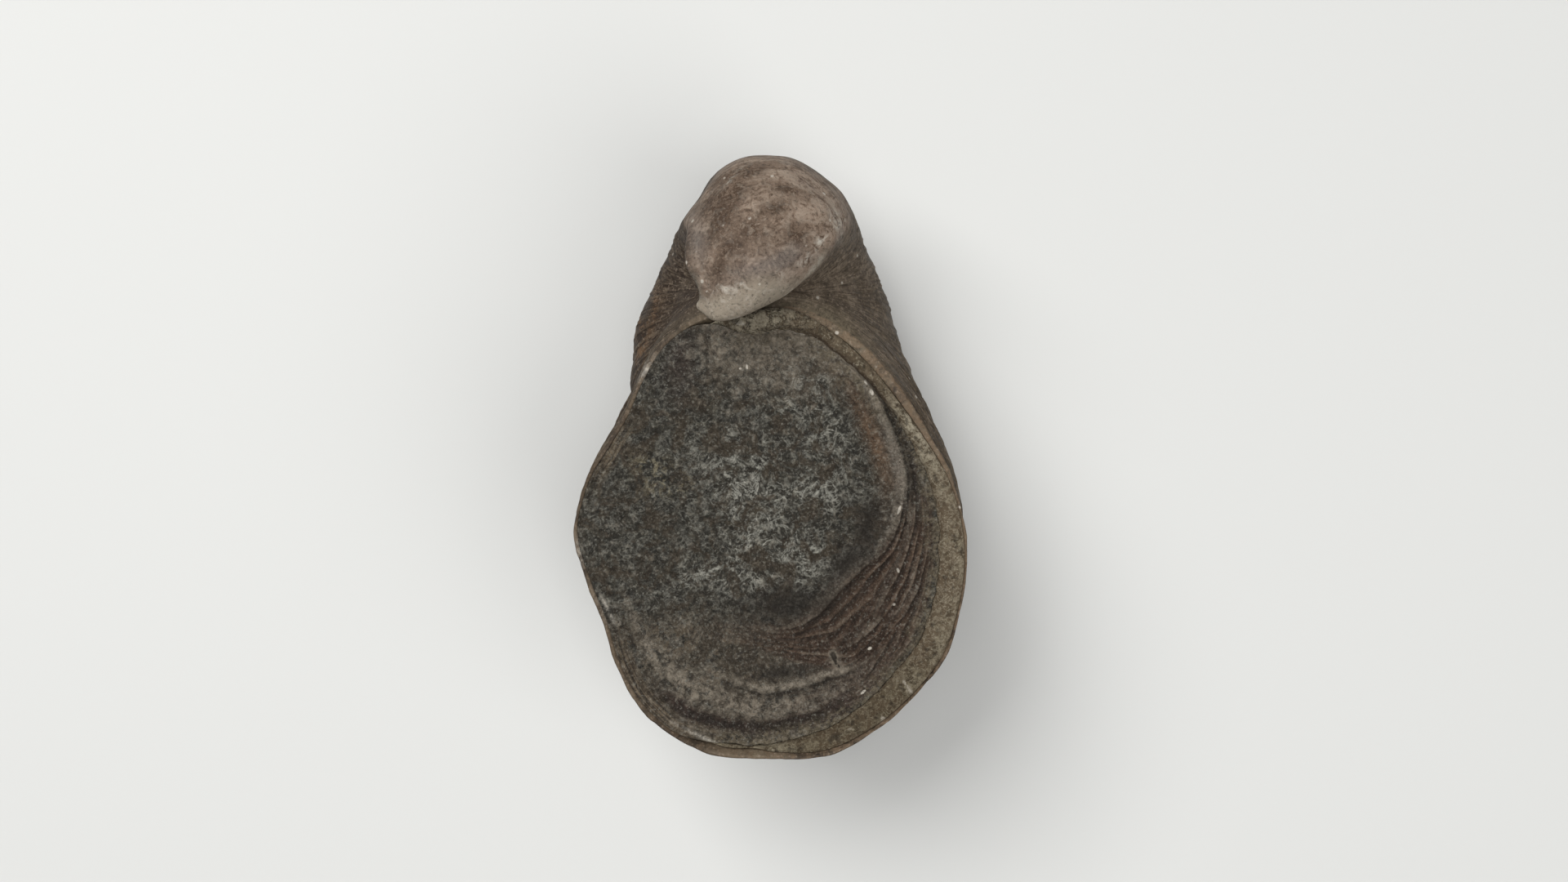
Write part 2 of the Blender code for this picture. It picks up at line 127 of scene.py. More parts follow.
BRIGHT_STREAKS = ((8.0, 27.6, 0.55, 1.7, 12), (5.9, 25.2, 0.4, 1.2, -42), (4.2, 22.9, 0.4, 1.1, -48),
                  (-5.4, 19.4, 1.0, 0.5, 0), (-3.6, 19.7, 0.7, 0.4, 10), (0.9, 21.0, 0.6, 0.4, 30),
                  (-4.3, 33.1, 1.0, 0.25, 50))
UMBER_STAINS = ((-15.6, 17.4, 1.5, 3.0, -15), (-16.2, 12.6, 0.8, 1.6, -15))
CRUMB_STAINS = ((1.0, 16.6, 6.5, 2.0, 0), (9.5, 13.8, 4.5, 1.6, -42), (-8.5, 15.2, 3.0, 1.4, 30))
CHIPPED_PATCHES = ((-14.8, 10.4, 0.5, 1.5, -42), (-13.6, 15.0, 0.5, 0.9, -20), (-22.6, -11.5, 0.6, 1.4, 10),
                   (-19.9, -18.2, 0.5, 2.6, 24), (-15.9, -27.6, 0.5, 1.6, 35))

# Columns and rings of its mesh, the round of its rim in degrees, and how the rings crowd together.
SHELL_AROUND = 300
BEAK_RINGS = 10
SHELL_RINGS = 296
SHELL_POWER = 0.7
RIM_RINGS = 4
RIM_ROUNDING = 0.2
CAVITY_RINGS = 14
CAVITY_POWER = 1.7
SHRINK_RATE = -math.log(QUARTER_SHRINK) / 90


def smooth(at, knots, values):
    """Value of a smooth curve through the given knots."""
    knots = np.asarray(knots, float)
    values = np.asarray(values, float)
    slopes = np.gradient(values, knots)
    at = np.clip(at, knots[0], knots[-1])
    low = np.clip(np.searchsorted(knots, at) - 1, 0, len(knots) - 2)
    span = knots[low + 1] - knots[low]
    u = (at - knots[low]) / span
    start = (1 + 2 * u) * (1 - u) ** 2 * values[low] + u * (1 - u) ** 2 * span * slopes[low]
    end = u * u * (3 - 2 * u) * values[low + 1] - u * u * (1 - u) * span * slopes[low + 1]
    return start + end


def step(low, high, value):
    """0 below low, 1 above high, and smooth between them."""
    u = np.clip((value - low) / (high - low), 0, 1)
    return u * u * (3 - 2 * u)


def bump(value, middle, width):
    """1 at the middle, falling to nothing about two widths away."""
    return np.exp(-((value - middle) / width) ** 2)


def polar(x, y):
    """Bearing and distance from the middle of the shell."""
    return np.arctan2(y - MIDDLE_Y, x - MIDDLE_X) % FULL_TURN, np.hypot(x - MIDDLE_X, y - MIDDLE_Y)


def outline_radius(points, bearing):
    """Distance from the middle of the shell to a closed outline."""
    turn, radius = polar(*(np.array(points).T * MM))
    order = np.argsort(turn)
    knots = np.concatenate([turn[order] + shift for shift in (-FULL_TURN, 0, FULL_TURN)])
    return smooth(bearing % FULL_TURN, knots, np.tile(radius[order], 3))


def wear(places, octaves=3):
    """Cloudy noise, about -1 to 1, at each of the given places."""
    return np.array([noise.fractal(Vector(place), 1.0, 2.0, octaves) for place in places])


def flakes(layer):
    """Layers that each rise slowly from 0 to 1 and then break off, one for every whole number."""
    share = layer % 1
    return share * (1 - step(0.8, 1.0, share))


def spots(x, y, ovals):
    """Soft oval spots, 1 in their middles: place and half lengths in millimetres, and tilt in degrees."""
    total = 0
    for middle_x, middle_y, long, wide, tilt in ovals:
        turn = math.radians(tilt)
        across = (x / MM - middle_x) * math.cos(turn) + (y / MM - middle_y) * math.sin(turn)
        up = (y / MM - middle_y) * math.cos(turn) - (x / MM - middle_x) * math.sin(turn)
        total = total + np.exp(-(across / long) ** 2 - (up / wide) ** 2)
    return np.clip(total, 0, 1)


HINGE_REACH = COIL_Y - MIDDLE_Y - outline_radius(MARGIN, math.pi / 2)
FRONT_REACH = COIL_Y - MIDDLE_Y + outline_radius(MARGIN, 1.5 * math.pi)


def growth_folds(angle, turn):
    """Height of the broad folds, less the furrow, at full size."""
    ahead = -np.sin(angle)
    waver = sum(size * np.sin(count * angle + turn / spread) for size, count, spread in WAVERS)
    folds = sum(height * bump(turn - waver, place, width) for place, height, width in FOLDS)
    underside = step(FLANK_ENDS, UNDERSIDE_FROM, ahead)
    folds = folds * (FLANK_FOLDS * step(-1, 0, ahead) * (1 - underside) + underside)
    furrow = bump(angle % FULL_TURN, FURROW_ANGLE, FURROW_WIDTH) * smooth(turn, FURROW_TURN, FURROW)
    swell = bump(angle % FULL_TURN, SWELL_ANGLE, SWELL_WIDTH) * smooth(turn, SWELL_TURN, SWELL)
    return (folds - furrow + swell) * MM


def coil(angle, turn, outward=0.0, keep=1.0):
    """Points at an angle round the growing edge and a turn along the coil, moved outwards."""
    young = YOUNG_ROUNDING * step(YOUNG_FROM, YOUNG_FULL, turn) * step(0, YOUNG_FRONT, -np.sin(angle))
    radius = outline_radius(MARGIN, angle) * (1 - young * np.sin(2 * angle) ** 2)
    size = np.exp(-SHRINK_RATE * turn)
    gap = smooth(turn, TURN, AXIS_GAP) * MM
    stretch = (FRONT_REACH * size - gap) / (FRONT_REACH - HINGE_REACH)
    middle = gap + (COIL_Y - MIDDLE_Y - HINGE_REACH) * stretch
    across = radius * np.cos(angle) * smooth(turn, TURN, WIDTH)
    ahead = -radius * np.sin(angle) * stretch
    length = np.hypot(across, ahead)
    share = (length + outward) * keep / length
    x = MIDDLE_X + smooth(turn, TURN, DRIFT) * MM + across * share
    reach = middle + ahead * share
    y = COIL_Y - reach * np.cos(np.radians(turn))
    z = -DEPTH * reach * np.sin(np.radians(turn))
    y = y + BEAK_SKEW * (x - MIDDLE_X) * step(SKEW_FROM, SKEW_FULL, z)
    return np.stack([x, y, z], axis=-1)


def margin_turn(angle):
    """Where the margin lies along the coil: a gentle wave, dropping at the hinge."""
    hinge = bump(angle % FULL_TURN, math.pi / 2, HINGE_WIDTH)
    return MARGIN_WAVE * np.sin(2 * angle + WAVE_START) + HINGE_DROP * hinge


def rim_wall(angle):
    """Thickness of the wall at the margin."""
    return smooth((np.degrees(angle) + 180) % 360 - 180, RIM_BEARING, RIM_WALL) * MM


def cavity(angle, turn, margin, clearance, ends):
    """The wall of the left valve's cavity, which closes in a round end under the umbo."""
    closing = np.clip((turn - CAVITY_ROUNDS_FROM) / (ends - CAVITY_ROUNDS_FROM), 0, 1)
    below = turn - margin
    wall = smooth(below, WALL_TURN, WALL) * MM
    wall = wall + (rim_wall(angle) - WALL[0] * MM) * step(WALL_TURN[1], 0, below)
    return coil(angle, turn, -wall - clearance, np.sqrt(1 - closing ** 2))


def recesses(field, ring, column, reach, sideways, scale):
    """How far each vertex lies below the mean of its neighbours, from -1 to 1, where scale counts as 1.

    They reach so many rings to each side of its own, and so many columns sideways.
    """
    grid = np.zeros((int(ring.max()) + 1, int(column.max()) + 1))
    grid[ring, column] = field
    grid[0] = field[ring == 0].mean()
    grid[-1] = field[ring == ring.max()].mean()
    mean = sum(np.roll(grid, shift, axis=1) for shift in range(-sideways, sideways + 1))
    mean = np.pad(mean, ((reach, reach), (0, 0)), mode="edge").cumsum(axis=0)
    mean = np.vstack([mean[2 * reach:2 * reach + 1], mean[2 * reach + 1:] - mean[:-2 * reach - 1]])
    mean = mean / (2 * reach + 1) / (2 * sideways + 1)
    return np.clip((mean - grid)[ring, column] / scale, -1, 1)


def closed_piece(name, around, rings, shape):
    """A sphere of rings, numbered from its top pole, with each vertex moved to where shape puts it.

    shape also gives the marks that the finish reads: a number or a vector for each vertex.
    """
    body = bmesh.new()
    bmesh.ops.create_uvsphere(body, u_segments=around, v_segments=rings, radius=1)
    start = np.array([vertex.co for vertex in body.verts])
    ring = np.rint(np.arccos(np.clip(start[:, 2], -1, 1)) / math.pi * rings).astype(int)
    angle = np.arctan2(start[:, 1], start[:, 0])
    column = np.rint(angle / FULL_TURN * around).astype(int) % around
    places, marks = shape(angle, ring, column)
    places = places + SHELL_PLACE
    # The underside is worn flat where it rests.
    places[:, 2] = np.maximum(places[:, 2], 0)
    for vertex, place in zip(body.verts, places):
        vertex.co = place
    bmesh.ops.recalc_face_normals(body, faces=body.faces)
    mesh = bpy.data.meshes.new(name)
    body.to_mesh(mesh)
    body.free()
    mesh.shade_smooth()
    for mark, values in marks.items():
        kind, key = ("FLOAT", "value") if values.ndim == 1 else ("FLOAT_VECTOR", "vector")
        mesh.attributes.new(mark, kind, "POINT").data.foreach_set(key, values.astype(np.float32).ravel())
    piece = bpy.data.objects.new(name, mesh)
    bpy.context.collection.objects.link(piece)
    return piece


def left_valve_shape(angle, ring, column):
    """Rings from the beak's end, over the coil to the margin, across the rim and down inside the cavity."""
    margin = margin_turn(angle)
    beak = np.clip(1 - ring / BEAK_RINGS, 0, 1) * math.pi / 2
    beak_size = math.exp(-SHRINK_RATE * BEAK_TURN)
    along = np.clip((ring - BEAK_RINGS) / SHELL_RINGS, 0, 1)
    size = (beak_size ** SHELL_POWER * (1 - along) + along) ** (1 / SHELL_POWER)
    turn = margin - np.log(size) / SHRINK_RATE * (1 - margin / BEAK_TURN)
    across = np.cos(angle)
    ahead = -np.sin(angle)

    # Flaking layers, dents and grit lie on the folds. They are low on the worn umbo, and nothing flakes by
    # the hinge.
    bare = coil(angle, turn)
    fresh = 1 - step(WORN_FROM, WORN_FULL, turn)
    away_from_hinge = step(-1.0, -0.4, ahead)
    warp = FLAKE_WARP * wear(np.stack([across * 1.6, ahead * 1.6, turn / 25], axis=-1))
    layer = -turn / FLAKE_TURN + warp
    edge = wear(np.stack([across * 2.2, ahead * 2.2, np.floor(layer) * 3.7], axis=-1), 1)
    flake = flakes(layer) * step(-0.35, 0.35, edge)
    flake_height = FLAKE_HEIGHT * flake * (0.12 + 0.88 * fresh) * away_from_hinge * (0.4 + 0.6 * size)
    soft = wear(bare / DENT_SIZE)
    dents = DENT_HEIGHT * soft + GRIT_HEIGHT * wear(bare / GRIT_SIZE) * (0.3 + 0.7 * fresh)
    relief = growth_folds(angle, turn) * size + flake_height + dents * (0.3 + 0.7 * size)
    outer = coil(angle, turn + BEAK_ROUNDING * np.sin(beak), relief, np.cos(beak) ** BEAK_BLUNTNESS)

    over = np.clip((ring - BEAK_RINGS - SHELL_RINGS) / RIM_RINGS, 0, 1)
    rim_turn = margin - RIM_ROUNDING * np.sin(math.pi * over)
    rim = coil(angle, rim_turn, relief * (1 - over) - rim_wall(angle) * over)
    inside = np.clip((ring - BEAK_RINGS - SHELL_RINGS - RIM_RINGS) / (CAVITY_RINGS - 1), 0, 1)
    deep = margin + (CAVITY_ENDS - margin) * inside ** CAVITY_POWER
    inner = cavity(angle, deep, margin, 0, CAVITY_ENDS)
    places = np.where((over > 0)[:, None], rim, outer)
    places = np.where((inside > 0)[:, None], inner, places)

    # Marks: the umbo's pale cap, its beak's lip, painted shade in the creases beside it, then the rim and its
    # layers.
    x, y, z = places.T
    below = turn - margin
    high = step(-4 * MM, 1 * MM, z)
    cap = step(148, 172, turn + 14 * soft) * step(-0.22, 0.10, ahead + 0.12 * soft)
    lip = np.maximum(step(256, 276, turn + 6 * soft), step(0.34, 0.10, ahead) * step(224, 248, turn))
    left = step(0.1, -0.3, across)
    # Crease: painted shade beside the cap's edges, strongest on the left, along the cap's outline.
    crease = bump(ahead, -0.06, 0.13) * (0.35 + 0.65 * left) + 0.7 * bump(ahead, 0.15, 0.17) * left
    crease = crease * step(180, 215, turn) * step(276, 262, turn)
    fine = flake_height + dents
    rim_width = 0.9 + 4.5 * bump(ahead, -0.72, 0.3) * step(0.1, 0.4, across)
    marks = {
        "growth": np.stack([across, ahead, turn], axis=-1),
        # Hollow: how far the fine relief lies low, for painted shade in its recesses and painted highlight on
        # what stands high.
        "hollow": recesses(fine, ring, column, 4, 2, 0.10 * MM) * (1 - 0.7 * cap),
        "rim": np.maximum(step(rim_width, 0.1, below), np.where(over > 0, 1.0, 0.0)) * (1 - 0.6 * left),
        "lamellae": np.maximum(step(30, 12, below) * left, step(8, 1.5, below)) * step(-1.0, -0.8, ahead),
        "cap": cap,
        "lip": lip * cap,
        "crease": crease,
        "brown": spots(x, y, BROWN_STAINS) * high,
        "grey": spots(x, y, GREY_STAINS) * high,
        "tan": spots(x, y, TAN_STAINS) * high,
        "bright": np.maximum(spots(x, y, BRIGHT_STREAKS) * high,
                             spots(x, y, CHIPPED_PATCHES) * step(20, 8, turn)),
        "umber": spots(x, y, UMBER_STAINS) * step(170, 120, turn),
        "crumb": spots(x, y, CRUMB_STAINS) * step(70, 30, turn),
    }
    return places, marks


left_valve = closed_piece("left_valve_worn", SHELL_AROUND,
                          BEAK_RINGS + SHELL_RINGS + RIM_RINGS + CAVITY_RINGS, left_valve_shape)


class Value:
    """A socket in a material. Arithmetic on it adds Math nodes, and node adds any other kind."""

    def __init__(self, tree, socket=None):
        self.tree = tree
        self.socket = socket

    def node(self, kind, settings, inputs, output=0):
        """A new node with its settings made first, then its inputs set or linked."""
        node = self.tree.nodes.new(kind)
        for name, setting in settings.items():
            setattr(node, name, setting)
        for name, value in inputs.items():
            if isinstance(value, Value):
                self.tree.links.new(value.socket, node.inputs[name])
            else:
                node.inputs[name].default_value = value
        return Value(self.tree, node.outputs[output])

    def math(self, operation, first, second):
        return self.node("ShaderNodeMath", {"operation": operation}, {0: first, 1: second})

    def __add__(self, other):
        return self.math("ADD", self, other)

    def __sub__(self, other):
        return self.math("SUBTRACT", self, other)

    def __mul__(self, other):
        return self.math("MULTIPLY", self, other)

    def __rsub__(self, other):
        return self.math("SUBTRACT", other, self)

    __radd__ = __add__
    __rmul__ = __mul__

    def between(self, low, high):
        """0 below low, 1 above high, and smooth between them."""
        return self.node("ShaderNodeMapRange", {"interpolation_type": "SMOOTHSTEP"},
                         {"Value": self, "From Min": low, "From Max": high})

    def mix(self, first, second, blend="MIX"):
        """The first colour where this is 0, and the second where it is 1."""
        return self.node("ShaderNodeMix", {"data_type": "RGBA", "blend_type": blend},
                         {0: self, 6: first, 7: second}, 2)

    def stretch(self, x, y, z):
        return self.node("ShaderNodeVectorMath", {"operation": "MULTIPLY"}, {0: self, 1: (x, y, z)})

    def cloud(self, size, detail=3.0, roughness=0.55, warp=0.0):
        """Cloudy noise, about 0.3 to 0.7, with features of the given size."""
        return self.node("ShaderNodeTexNoise", {}, {"Vector": self, "Scale": 1 / size, "Detail": detail,
                                                    "Roughness": roughness, "Distortion": warp})

    def threads(self, size, width, warp=0.4):
        """Crinkled thin lines, where cloudy noise passes its middle value."""
        fog = self.cloud(size, 5.0, 0.62, warp)
        return fog.between(0.5 - width, 0.5) * fog.between(0.5 + width, 0.5)

    def cells(self, size, feature="F1", randomness=1.0):
        """Distance to the middle or the edge of scattered cells of the given size."""
        return self.node("ShaderNodeTexVoronoi", {"feature": feature},
                         {"Vector": self, "Scale": 1 / size, "Randomness": randomness})

    def mark(self, name, output="Fac"):
        """A mark that the piece's mesh carries."""
        return self.node("ShaderNodeAttribute", {"attribute_name": name}, {}, output)

    def place(self):
        """Where a point is, in millimetres."""
        here = self.node("ShaderNodeTexCoord", {}, {}, "Object")
        return here.stretch(1 / MM, 1 / MM, 1 / MM)

    def raised(self, height, distance, strength=1.0, under=None):
        """A bumped normal, on top of another one if it is given."""
        inputs = {"Height": height, "Distance": distance, "Strength": strength}
        if under is not None:
            inputs["Normal"] = under
        return self.node("ShaderNodeBump", {}, inputs)


def colour(red, green, blue):
    """A display colour, 0 to 255 each, as the shader needs it."""
    shares = (channel / 255 for channel in (red, green, blue))
    return (*(share / 12.92 if share <= 0.04045 else ((share + 0.055) / 1.055) ** 2.4 for share in shares), 1)


MATT_SPECULAR = 0.18


def finish(piece, node_name, roughness, base, normal):
    """Joins the finish to the piece's shader, and puts the piece in place of its solid."""
    material = piece.data.materials[0]
    shader = material.node_tree.nodes["Principled BSDF"]
    shader.inputs["Specular IOR Level"].default_value = MATT_SPECULAR
    material.node_tree.links.new(base.socket, shader.inputs["Base Color"])
    material.node_tree.links.new(roughness.socket, shader.inputs["Roughness"])
    material.node_tree.links.new(normal.socket, shader.inputs["Normal"])
    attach(piece, "root")
    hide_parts(node_name)


def new_finish(piece, name):
    """An empty finish on a piece, to start its nodes from."""
    material = bpy.data.materials.new(name)
    material.use_nodes = True
    piece.data.materials.append(material)
    return Value(material.node_tree)


def layered(surface, *coats):
    """A colour under coats of others, first to last: where each coat lies, its colour and its blend."""
    for mask, coat, *blend in coats:
        surface = mask.mix(surface, coat, *blend)
    return surface


UMBO_TAN = colour(128, 110, 95)
UMBO_TAUPE = colour(98, 83, 70)
UMBO_PALE = colour(150, 134, 118)
UMBO_BROWN = colour(66, 50, 37)
UMBO_GREY = colour(97, 89, 83)
LIP_CREAM = colour(138, 128, 113)
FLECK_WHITE = colour(176, 169, 157)
FLANK_DARK = colour(58, 48, 37)
FLANK_GREY = colour(108, 95, 80)
FLANK_PALE = colour(124, 111, 96)
FLANK_UMBER = colour(98, 74, 52)
LEFT_BROWN = colour(42, 31, 22)
LINE_PALE = colour(100, 88, 72)
LINE_DARK = colour(44, 36, 28)
RIM_BROWN = colour(104, 87, 69)
CRUMB_OLIVE = colour(96, 87, 71)
# Near black, for grime and specks, and for the painted shade in creases, recesses, cracks and at ledges'
# feet.
GRIME_AND_SHADE = colour(30, 25, 20)

shell = new_finish(left_valve, "worn shell")
place = shell.place()
growth = shell.mark("growth", "Vector")
turn = growth.node("ShaderNodeSeparateXYZ", {}, {0: growth}, 2)
hollow = shell.mark("hollow")
lip = shell.mark("lip")
lamellae = shell.mark("lamellae")
patchy = place.cloud(2.8, 5.0, 0.62, 0.5)
mottle = place.cloud(1.3, 5.0, 0.68, 0.8)
speckle = place.cloud(0.4, 3.0, 0.7)
arcs = growth.stretch(1.5, 1.5, 0.45).cloud(1.0, 4.0, 0.6)
fibres = growth.stretch(6.0, 6.0, 0.5).cloud(1.0, 5.0, 0.72)
bands = growth.stretch(0.7, 0.7, 0.16).cloud(1.0, 3.0, 0.6)
lines = growth.stretch(1.8, 1.8, 1.3).cloud(1.0, 3.0, 0.6)
flecks = place.cells(2.3).between(0.13, 0.07) * patchy.between(0.47, 0.55)

cap = layered(
    patchy.between(0.40, 0.64).mix(UMBO_TAUPE, UMBO_TAN),
    (shell.mark("tan") * 0.85, UMBO_TAN),
    (shell.mark("tan") * mottle.between(0.42, 0.54) * 0.45, UMBO_PALE),
    (arcs.between(0.50, 0.64) * turn.between(225, 195) * 0.6, UMBO_PALE),
    (arcs.between(0.48, 0.36) * turn.between(225, 195) * 0.5, UMBO_BROWN),
    (shell.mark("brown") * mottle.between(0.40, 0.52) * 1.2, UMBO_BROWN),
    (mottle.between(0.48, 0.38) * 0.65, UMBO_BROWN),
    (shell.mark("grey") * 0.75, UMBO_GREY),
    (lip * (patchy * 0.7 + 0.6), LIP_CREAM),
    ((lip * 0.3 + 0.1) * mottle.between(0.50, 0.62), FLECK_WHITE),
    (mottle.between(0.50, 0.62) * patchy.between(0.46, 0.56) * 0.35, UMBO_PALE),
)
left = growth.node("ShaderNodeSeparateXYZ", {}, {0: growth}).between(0.2, -0.5)
flank = layered(
    fibres.between(0.34, 0.64).mix(FLANK_DARK, FLANK_GREY),
    (bands.between(0.52, 0.40) * 0.55, FLANK_DARK),
    (bands.between(0.54, 0.66) * 0.4, FLANK_PALE),
    (mottle.between(0.48, 0.60) * fibres.between(0.36, 0.62) * 0.8, FLANK_PALE),
    (patchy.between(0.54, 0.42) * 0.5, FLANK_DARK),
    (left * (fibres.between(0.60, 0.42) * 0.5 + 0.5), LEFT_BROWN),
    (shell.mark("umber") * patchy.between(0.40, 0.58) * fibres.between(0.38, 0.54), FLANK_UMBER),
    (lamellae * 0.9, lines.between(0.38, 0.62).mix(LINE_DARK, LINE_PALE)),
    (lamellae * mottle.between(0.46, 0.60) * 0.6, FLANK_DARK),
)
surface = layered(
    shell.mark("cap").mix(flank, cap),
    # Painted shade in the creases beside the cap.
    (shell.mark("crease") * (mottle + 0.2), GRIME_AND_SHADE),
    (shell.mark("crumb") * (mottle + 0.3), CRUMB_OLIVE),
    (shell.mark("rim") * mottle.between(0.36, 0.6) * 0.8, RIM_BROWN),
    (shell.mark("bright") * mottle.between(0.40, 0.62), FLECK_WHITE),
    (speckle.between(0.48, 0.32) * 0.5, GRIME_AND_SHADE),
    (speckle.between(0.54, 0.70) * 0.4, UMBO_PALE),
    # Painted shade in recesses and painted highlight on what stands high.
    (hollow.between(0.0, 0.8) * 0.6, GRIME_AND_SHADE),
    ((0 - hollow).between(0.1, 0.9) * 0.4, LINE_PALE),
    (flecks * 0.85, FLECK_WHITE),
)
shell_roughness = patchy.between(0.3, 0.7) * 0.2 + 0.55
shell_normal = shell.raised(lines * lamellae + fibres * 0.4, 0.25 * MM, 0.8)
shell_normal = shell.raised(speckle + mottle, 0.12 * MM, 0.7, shell_normal)
finish(left_valve, "left_valve", shell_roughness, surface, shell_normal)

# Right valve. The thin upper valve lies in the left one like a lid. It is calcite in flaky layers. Their
# broken edges make its ledges and the fan of ridges on its right. Grime and lime mottle its dished middle.
LID_EDGE = ((-2.5, 14.7), (1.5, 15.3), (5.3, 14.1), (9.9, 10.7), (13.7, 6.6), (16.6, 2.1), (18.7, -2.0),
            (20.0, -6.2), (20.3, -10.1), (19.9, -16.0), (18.1, -22.0), (14.2, -27.0), (8.7, -31.7),
            (2.6, -34.1), (-2.0, -34.9), (-6.5, -34.2), (-11.3, -31.9), (-15.2, -27.8), (-17.2, -24.0),
            (-18.8, -18.6), (-20.8, -13.4), (-22.1, -8.3), (-21.1, -3.6), (-18.4, 1.1), (-16.0, 5.5),
            (-13.4, 10.7), (-10.5, 13.9), (-7.4, 15.1))
LID_THICKNESS = 2.4 * MM
LID_EDGE_THICKNESS = 1.3 * MM
LID_UNDERCUT = 1.4 * MM
EDGE_BEARING = (-90, -45, 0, 45, 90, 135, 180, 225, 270, 315, 360)
EDGE_HEIGHT = (-0.2, -0.5, -0.7, -0.7, -0.7, -0.3, 0.0, 0.0, -0.2, -0.5, -0.7)
DISH_DEPTH = 2.0 * MM
PIT_X = 1.5 * MM
PIT_Y = -16.0 * MM
PIT_WIDTH = 7.0 * MM
PIT_DEPTH = 1.0 * MM

# Ledges: the route of each crest, clockwise from above, so that its outer side is on its left, then its
# height, its width outwards and its width towards the middle, in millimetres. The fourth is a groove.
LEDGES = (
    (((4.1, 14.9), (7.9, 12.9), (10.8, 10.1), (12.3, 7.4), (13.8, 4.1), (15.2, 0.5), (16.0, -3.1),
      (15.5, -6.5), (13.6, -11.0), (9.8, -14.1), (6.6, -17.4), (3.6, -20.2), (-2.2, -20.9),
      (-8.1, -20.4)), 1.2, 1.1, 3.0),
    (((16.8, -4.9), (17.1, -7.5), (15.9, -12.1), (13.9, -16.0), (12.4, -20.0), (10.2, -21.9),
      (7.4, -23.2)), 0.6, 0.9, 1.8),
    (((12.6, -24.6), (8.7, -25.9), (5.7, -26.8), (3.4, -27.6), (-0.3, -28.2), (-2.9, -27.6),
      (-8.1, -25.8)), 1.0, 0.9, 2.6),
    (((11.0, -28.7), (8.7, -29.9), (5.7, -31.5), (2.6, -32.1), (-0.5, -32.7), (-4.2, -32.5),
      (-7.4, -31.9), (-10.5, -30.5), (-14.0, -27.7)), -0.55, 1.0, 0.8),
    (((18.2, -10.4), (17.4, -14.3), (17.2, -16.4), (16.1, -18.2), (13.6, -21.6)), 0.4, 0.8, 1.2),
)

# Ledges fade out at both ends, and keep so much of their height where thin layers stand on them.
LEDGE_FADE = 0.25
LEDGES_KEEP = (0.8, 0.6, 0.6, 1.0, 0.6)

# The lid fits tight inside the rim where there is little room for sediment, and on the left, by the cosine of
# the bearing. Elsewhere its edge is chipped.
LID_GAP = 0.05 * MM
SNUG_ROOM = 0.5 * MM
OPEN_ROOM = 1.0 * MM
SNUG_FROM = -0.12
SNUG_FULL = -0.42
CHIP_DEPTH = 0.28 * MM
CHIP_COUNT = 10.0

# Columns and rings of its mesh, and how the rings crowd towards its edge.
LID_AROUND = 620
LID_RINGS = 142
LID_POWER = 0.8
EDGE_RINGS = 6
UNDER_RINGS = 8

chip_bearings = np.linspace(0, FULL_TURN, 1440, endpoint=False)
edge_chips = wear(np.stack([np.cos(chip_bearings), np.sin(chip_bearings), chip_bearings * 0], axis=-1)
                  * CHIP_COUNT, 4)
rim_loop = coil(chip_bearings, margin_turn(chip_bearings), -rim_wall(chip_bearings))
rim_bearings, rim_distances = polar(rim_loop[:, 0], rim_loop[:, 1])


def lid_edge(bearing):
    """Distance and height of the lid's upper edge, and how tightly it fits the rim, from 0 to 1."""
    plain = outline_radius(LID_EDGE, bearing)
    height = smooth((np.degrees(bearing) + 90) % 360 - 90, EDGE_BEARING, EDGE_HEIGHT) * MM
    rim_distance = np.interp(bearing, rim_bearings, rim_distances, period=FULL_TURN)
    rim_height = np.interp(bearing, rim_bearings, rim_loop[:, 2], period=FULL_TURN)
    chips = np.interp(bearing, chip_bearings, edge_chips, period=FULL_TURN)
    snug = np.maximum(step(OPEN_ROOM, SNUG_ROOM, rim_distance - plain),
                      step(SNUG_FROM, SNUG_FULL, np.cos(bearing)))
    distance = plain + CHIP_DEPTH * chips * (1 - snug) + (rim_distance - LID_GAP - plain) * snug
    return distance, height + (rim_height - LID_GAP - height) * snug, snug


def lid_base(x, y):
    """The lid's dished upper face without its ledges."""
    bearing, distance = polar(x, y)
    edge, edge_height = lid_edge(bearing)[:2]
    share = np.clip(distance / edge, 0, 1)
    pit = np.exp(-((x - PIT_X) ** 2 + (y - PIT_Y) ** 2) / PIT_WIDTH ** 2)
    return edge_height * share ** 2 - (1 - share ** 2) * (DISH_DEPTH + PIT_DEPTH * pit)


def lid_under(x, y, share):
    """The lid's lower face, at a share of the way out to its lower edge."""
    return lid_base(x, y) - LID_THICKNESS + (LID_THICKNESS - LID_EDGE_THICKNESS) * np.clip(share, 0, 1) ** 3


def beside_route(x, y, route):
    """Distance from a route, positive on its left as one goes along it, and the share along it."""
    corners = np.array(route) * MM
    stops = np.linspace(0, len(corners) - 1, 8 * len(corners))
    line = np.stack([smooth(stops, np.arange(len(corners)), column) for column in corners.T])
    along = np.gradient(line, axis=1)
    away = np.stack([x, y])[:, :, None] - line[:, None, :]
    nearest = np.argmin((away ** 2).sum(axis=0), axis=1)
    away = away[:, np.arange(len(x)), nearest]
    left = along[1][nearest] * away[0] < along[0][nearest] * away[1]
    return np.where(left, 1, -1) * np.hypot(*away), nearest / len(stops)


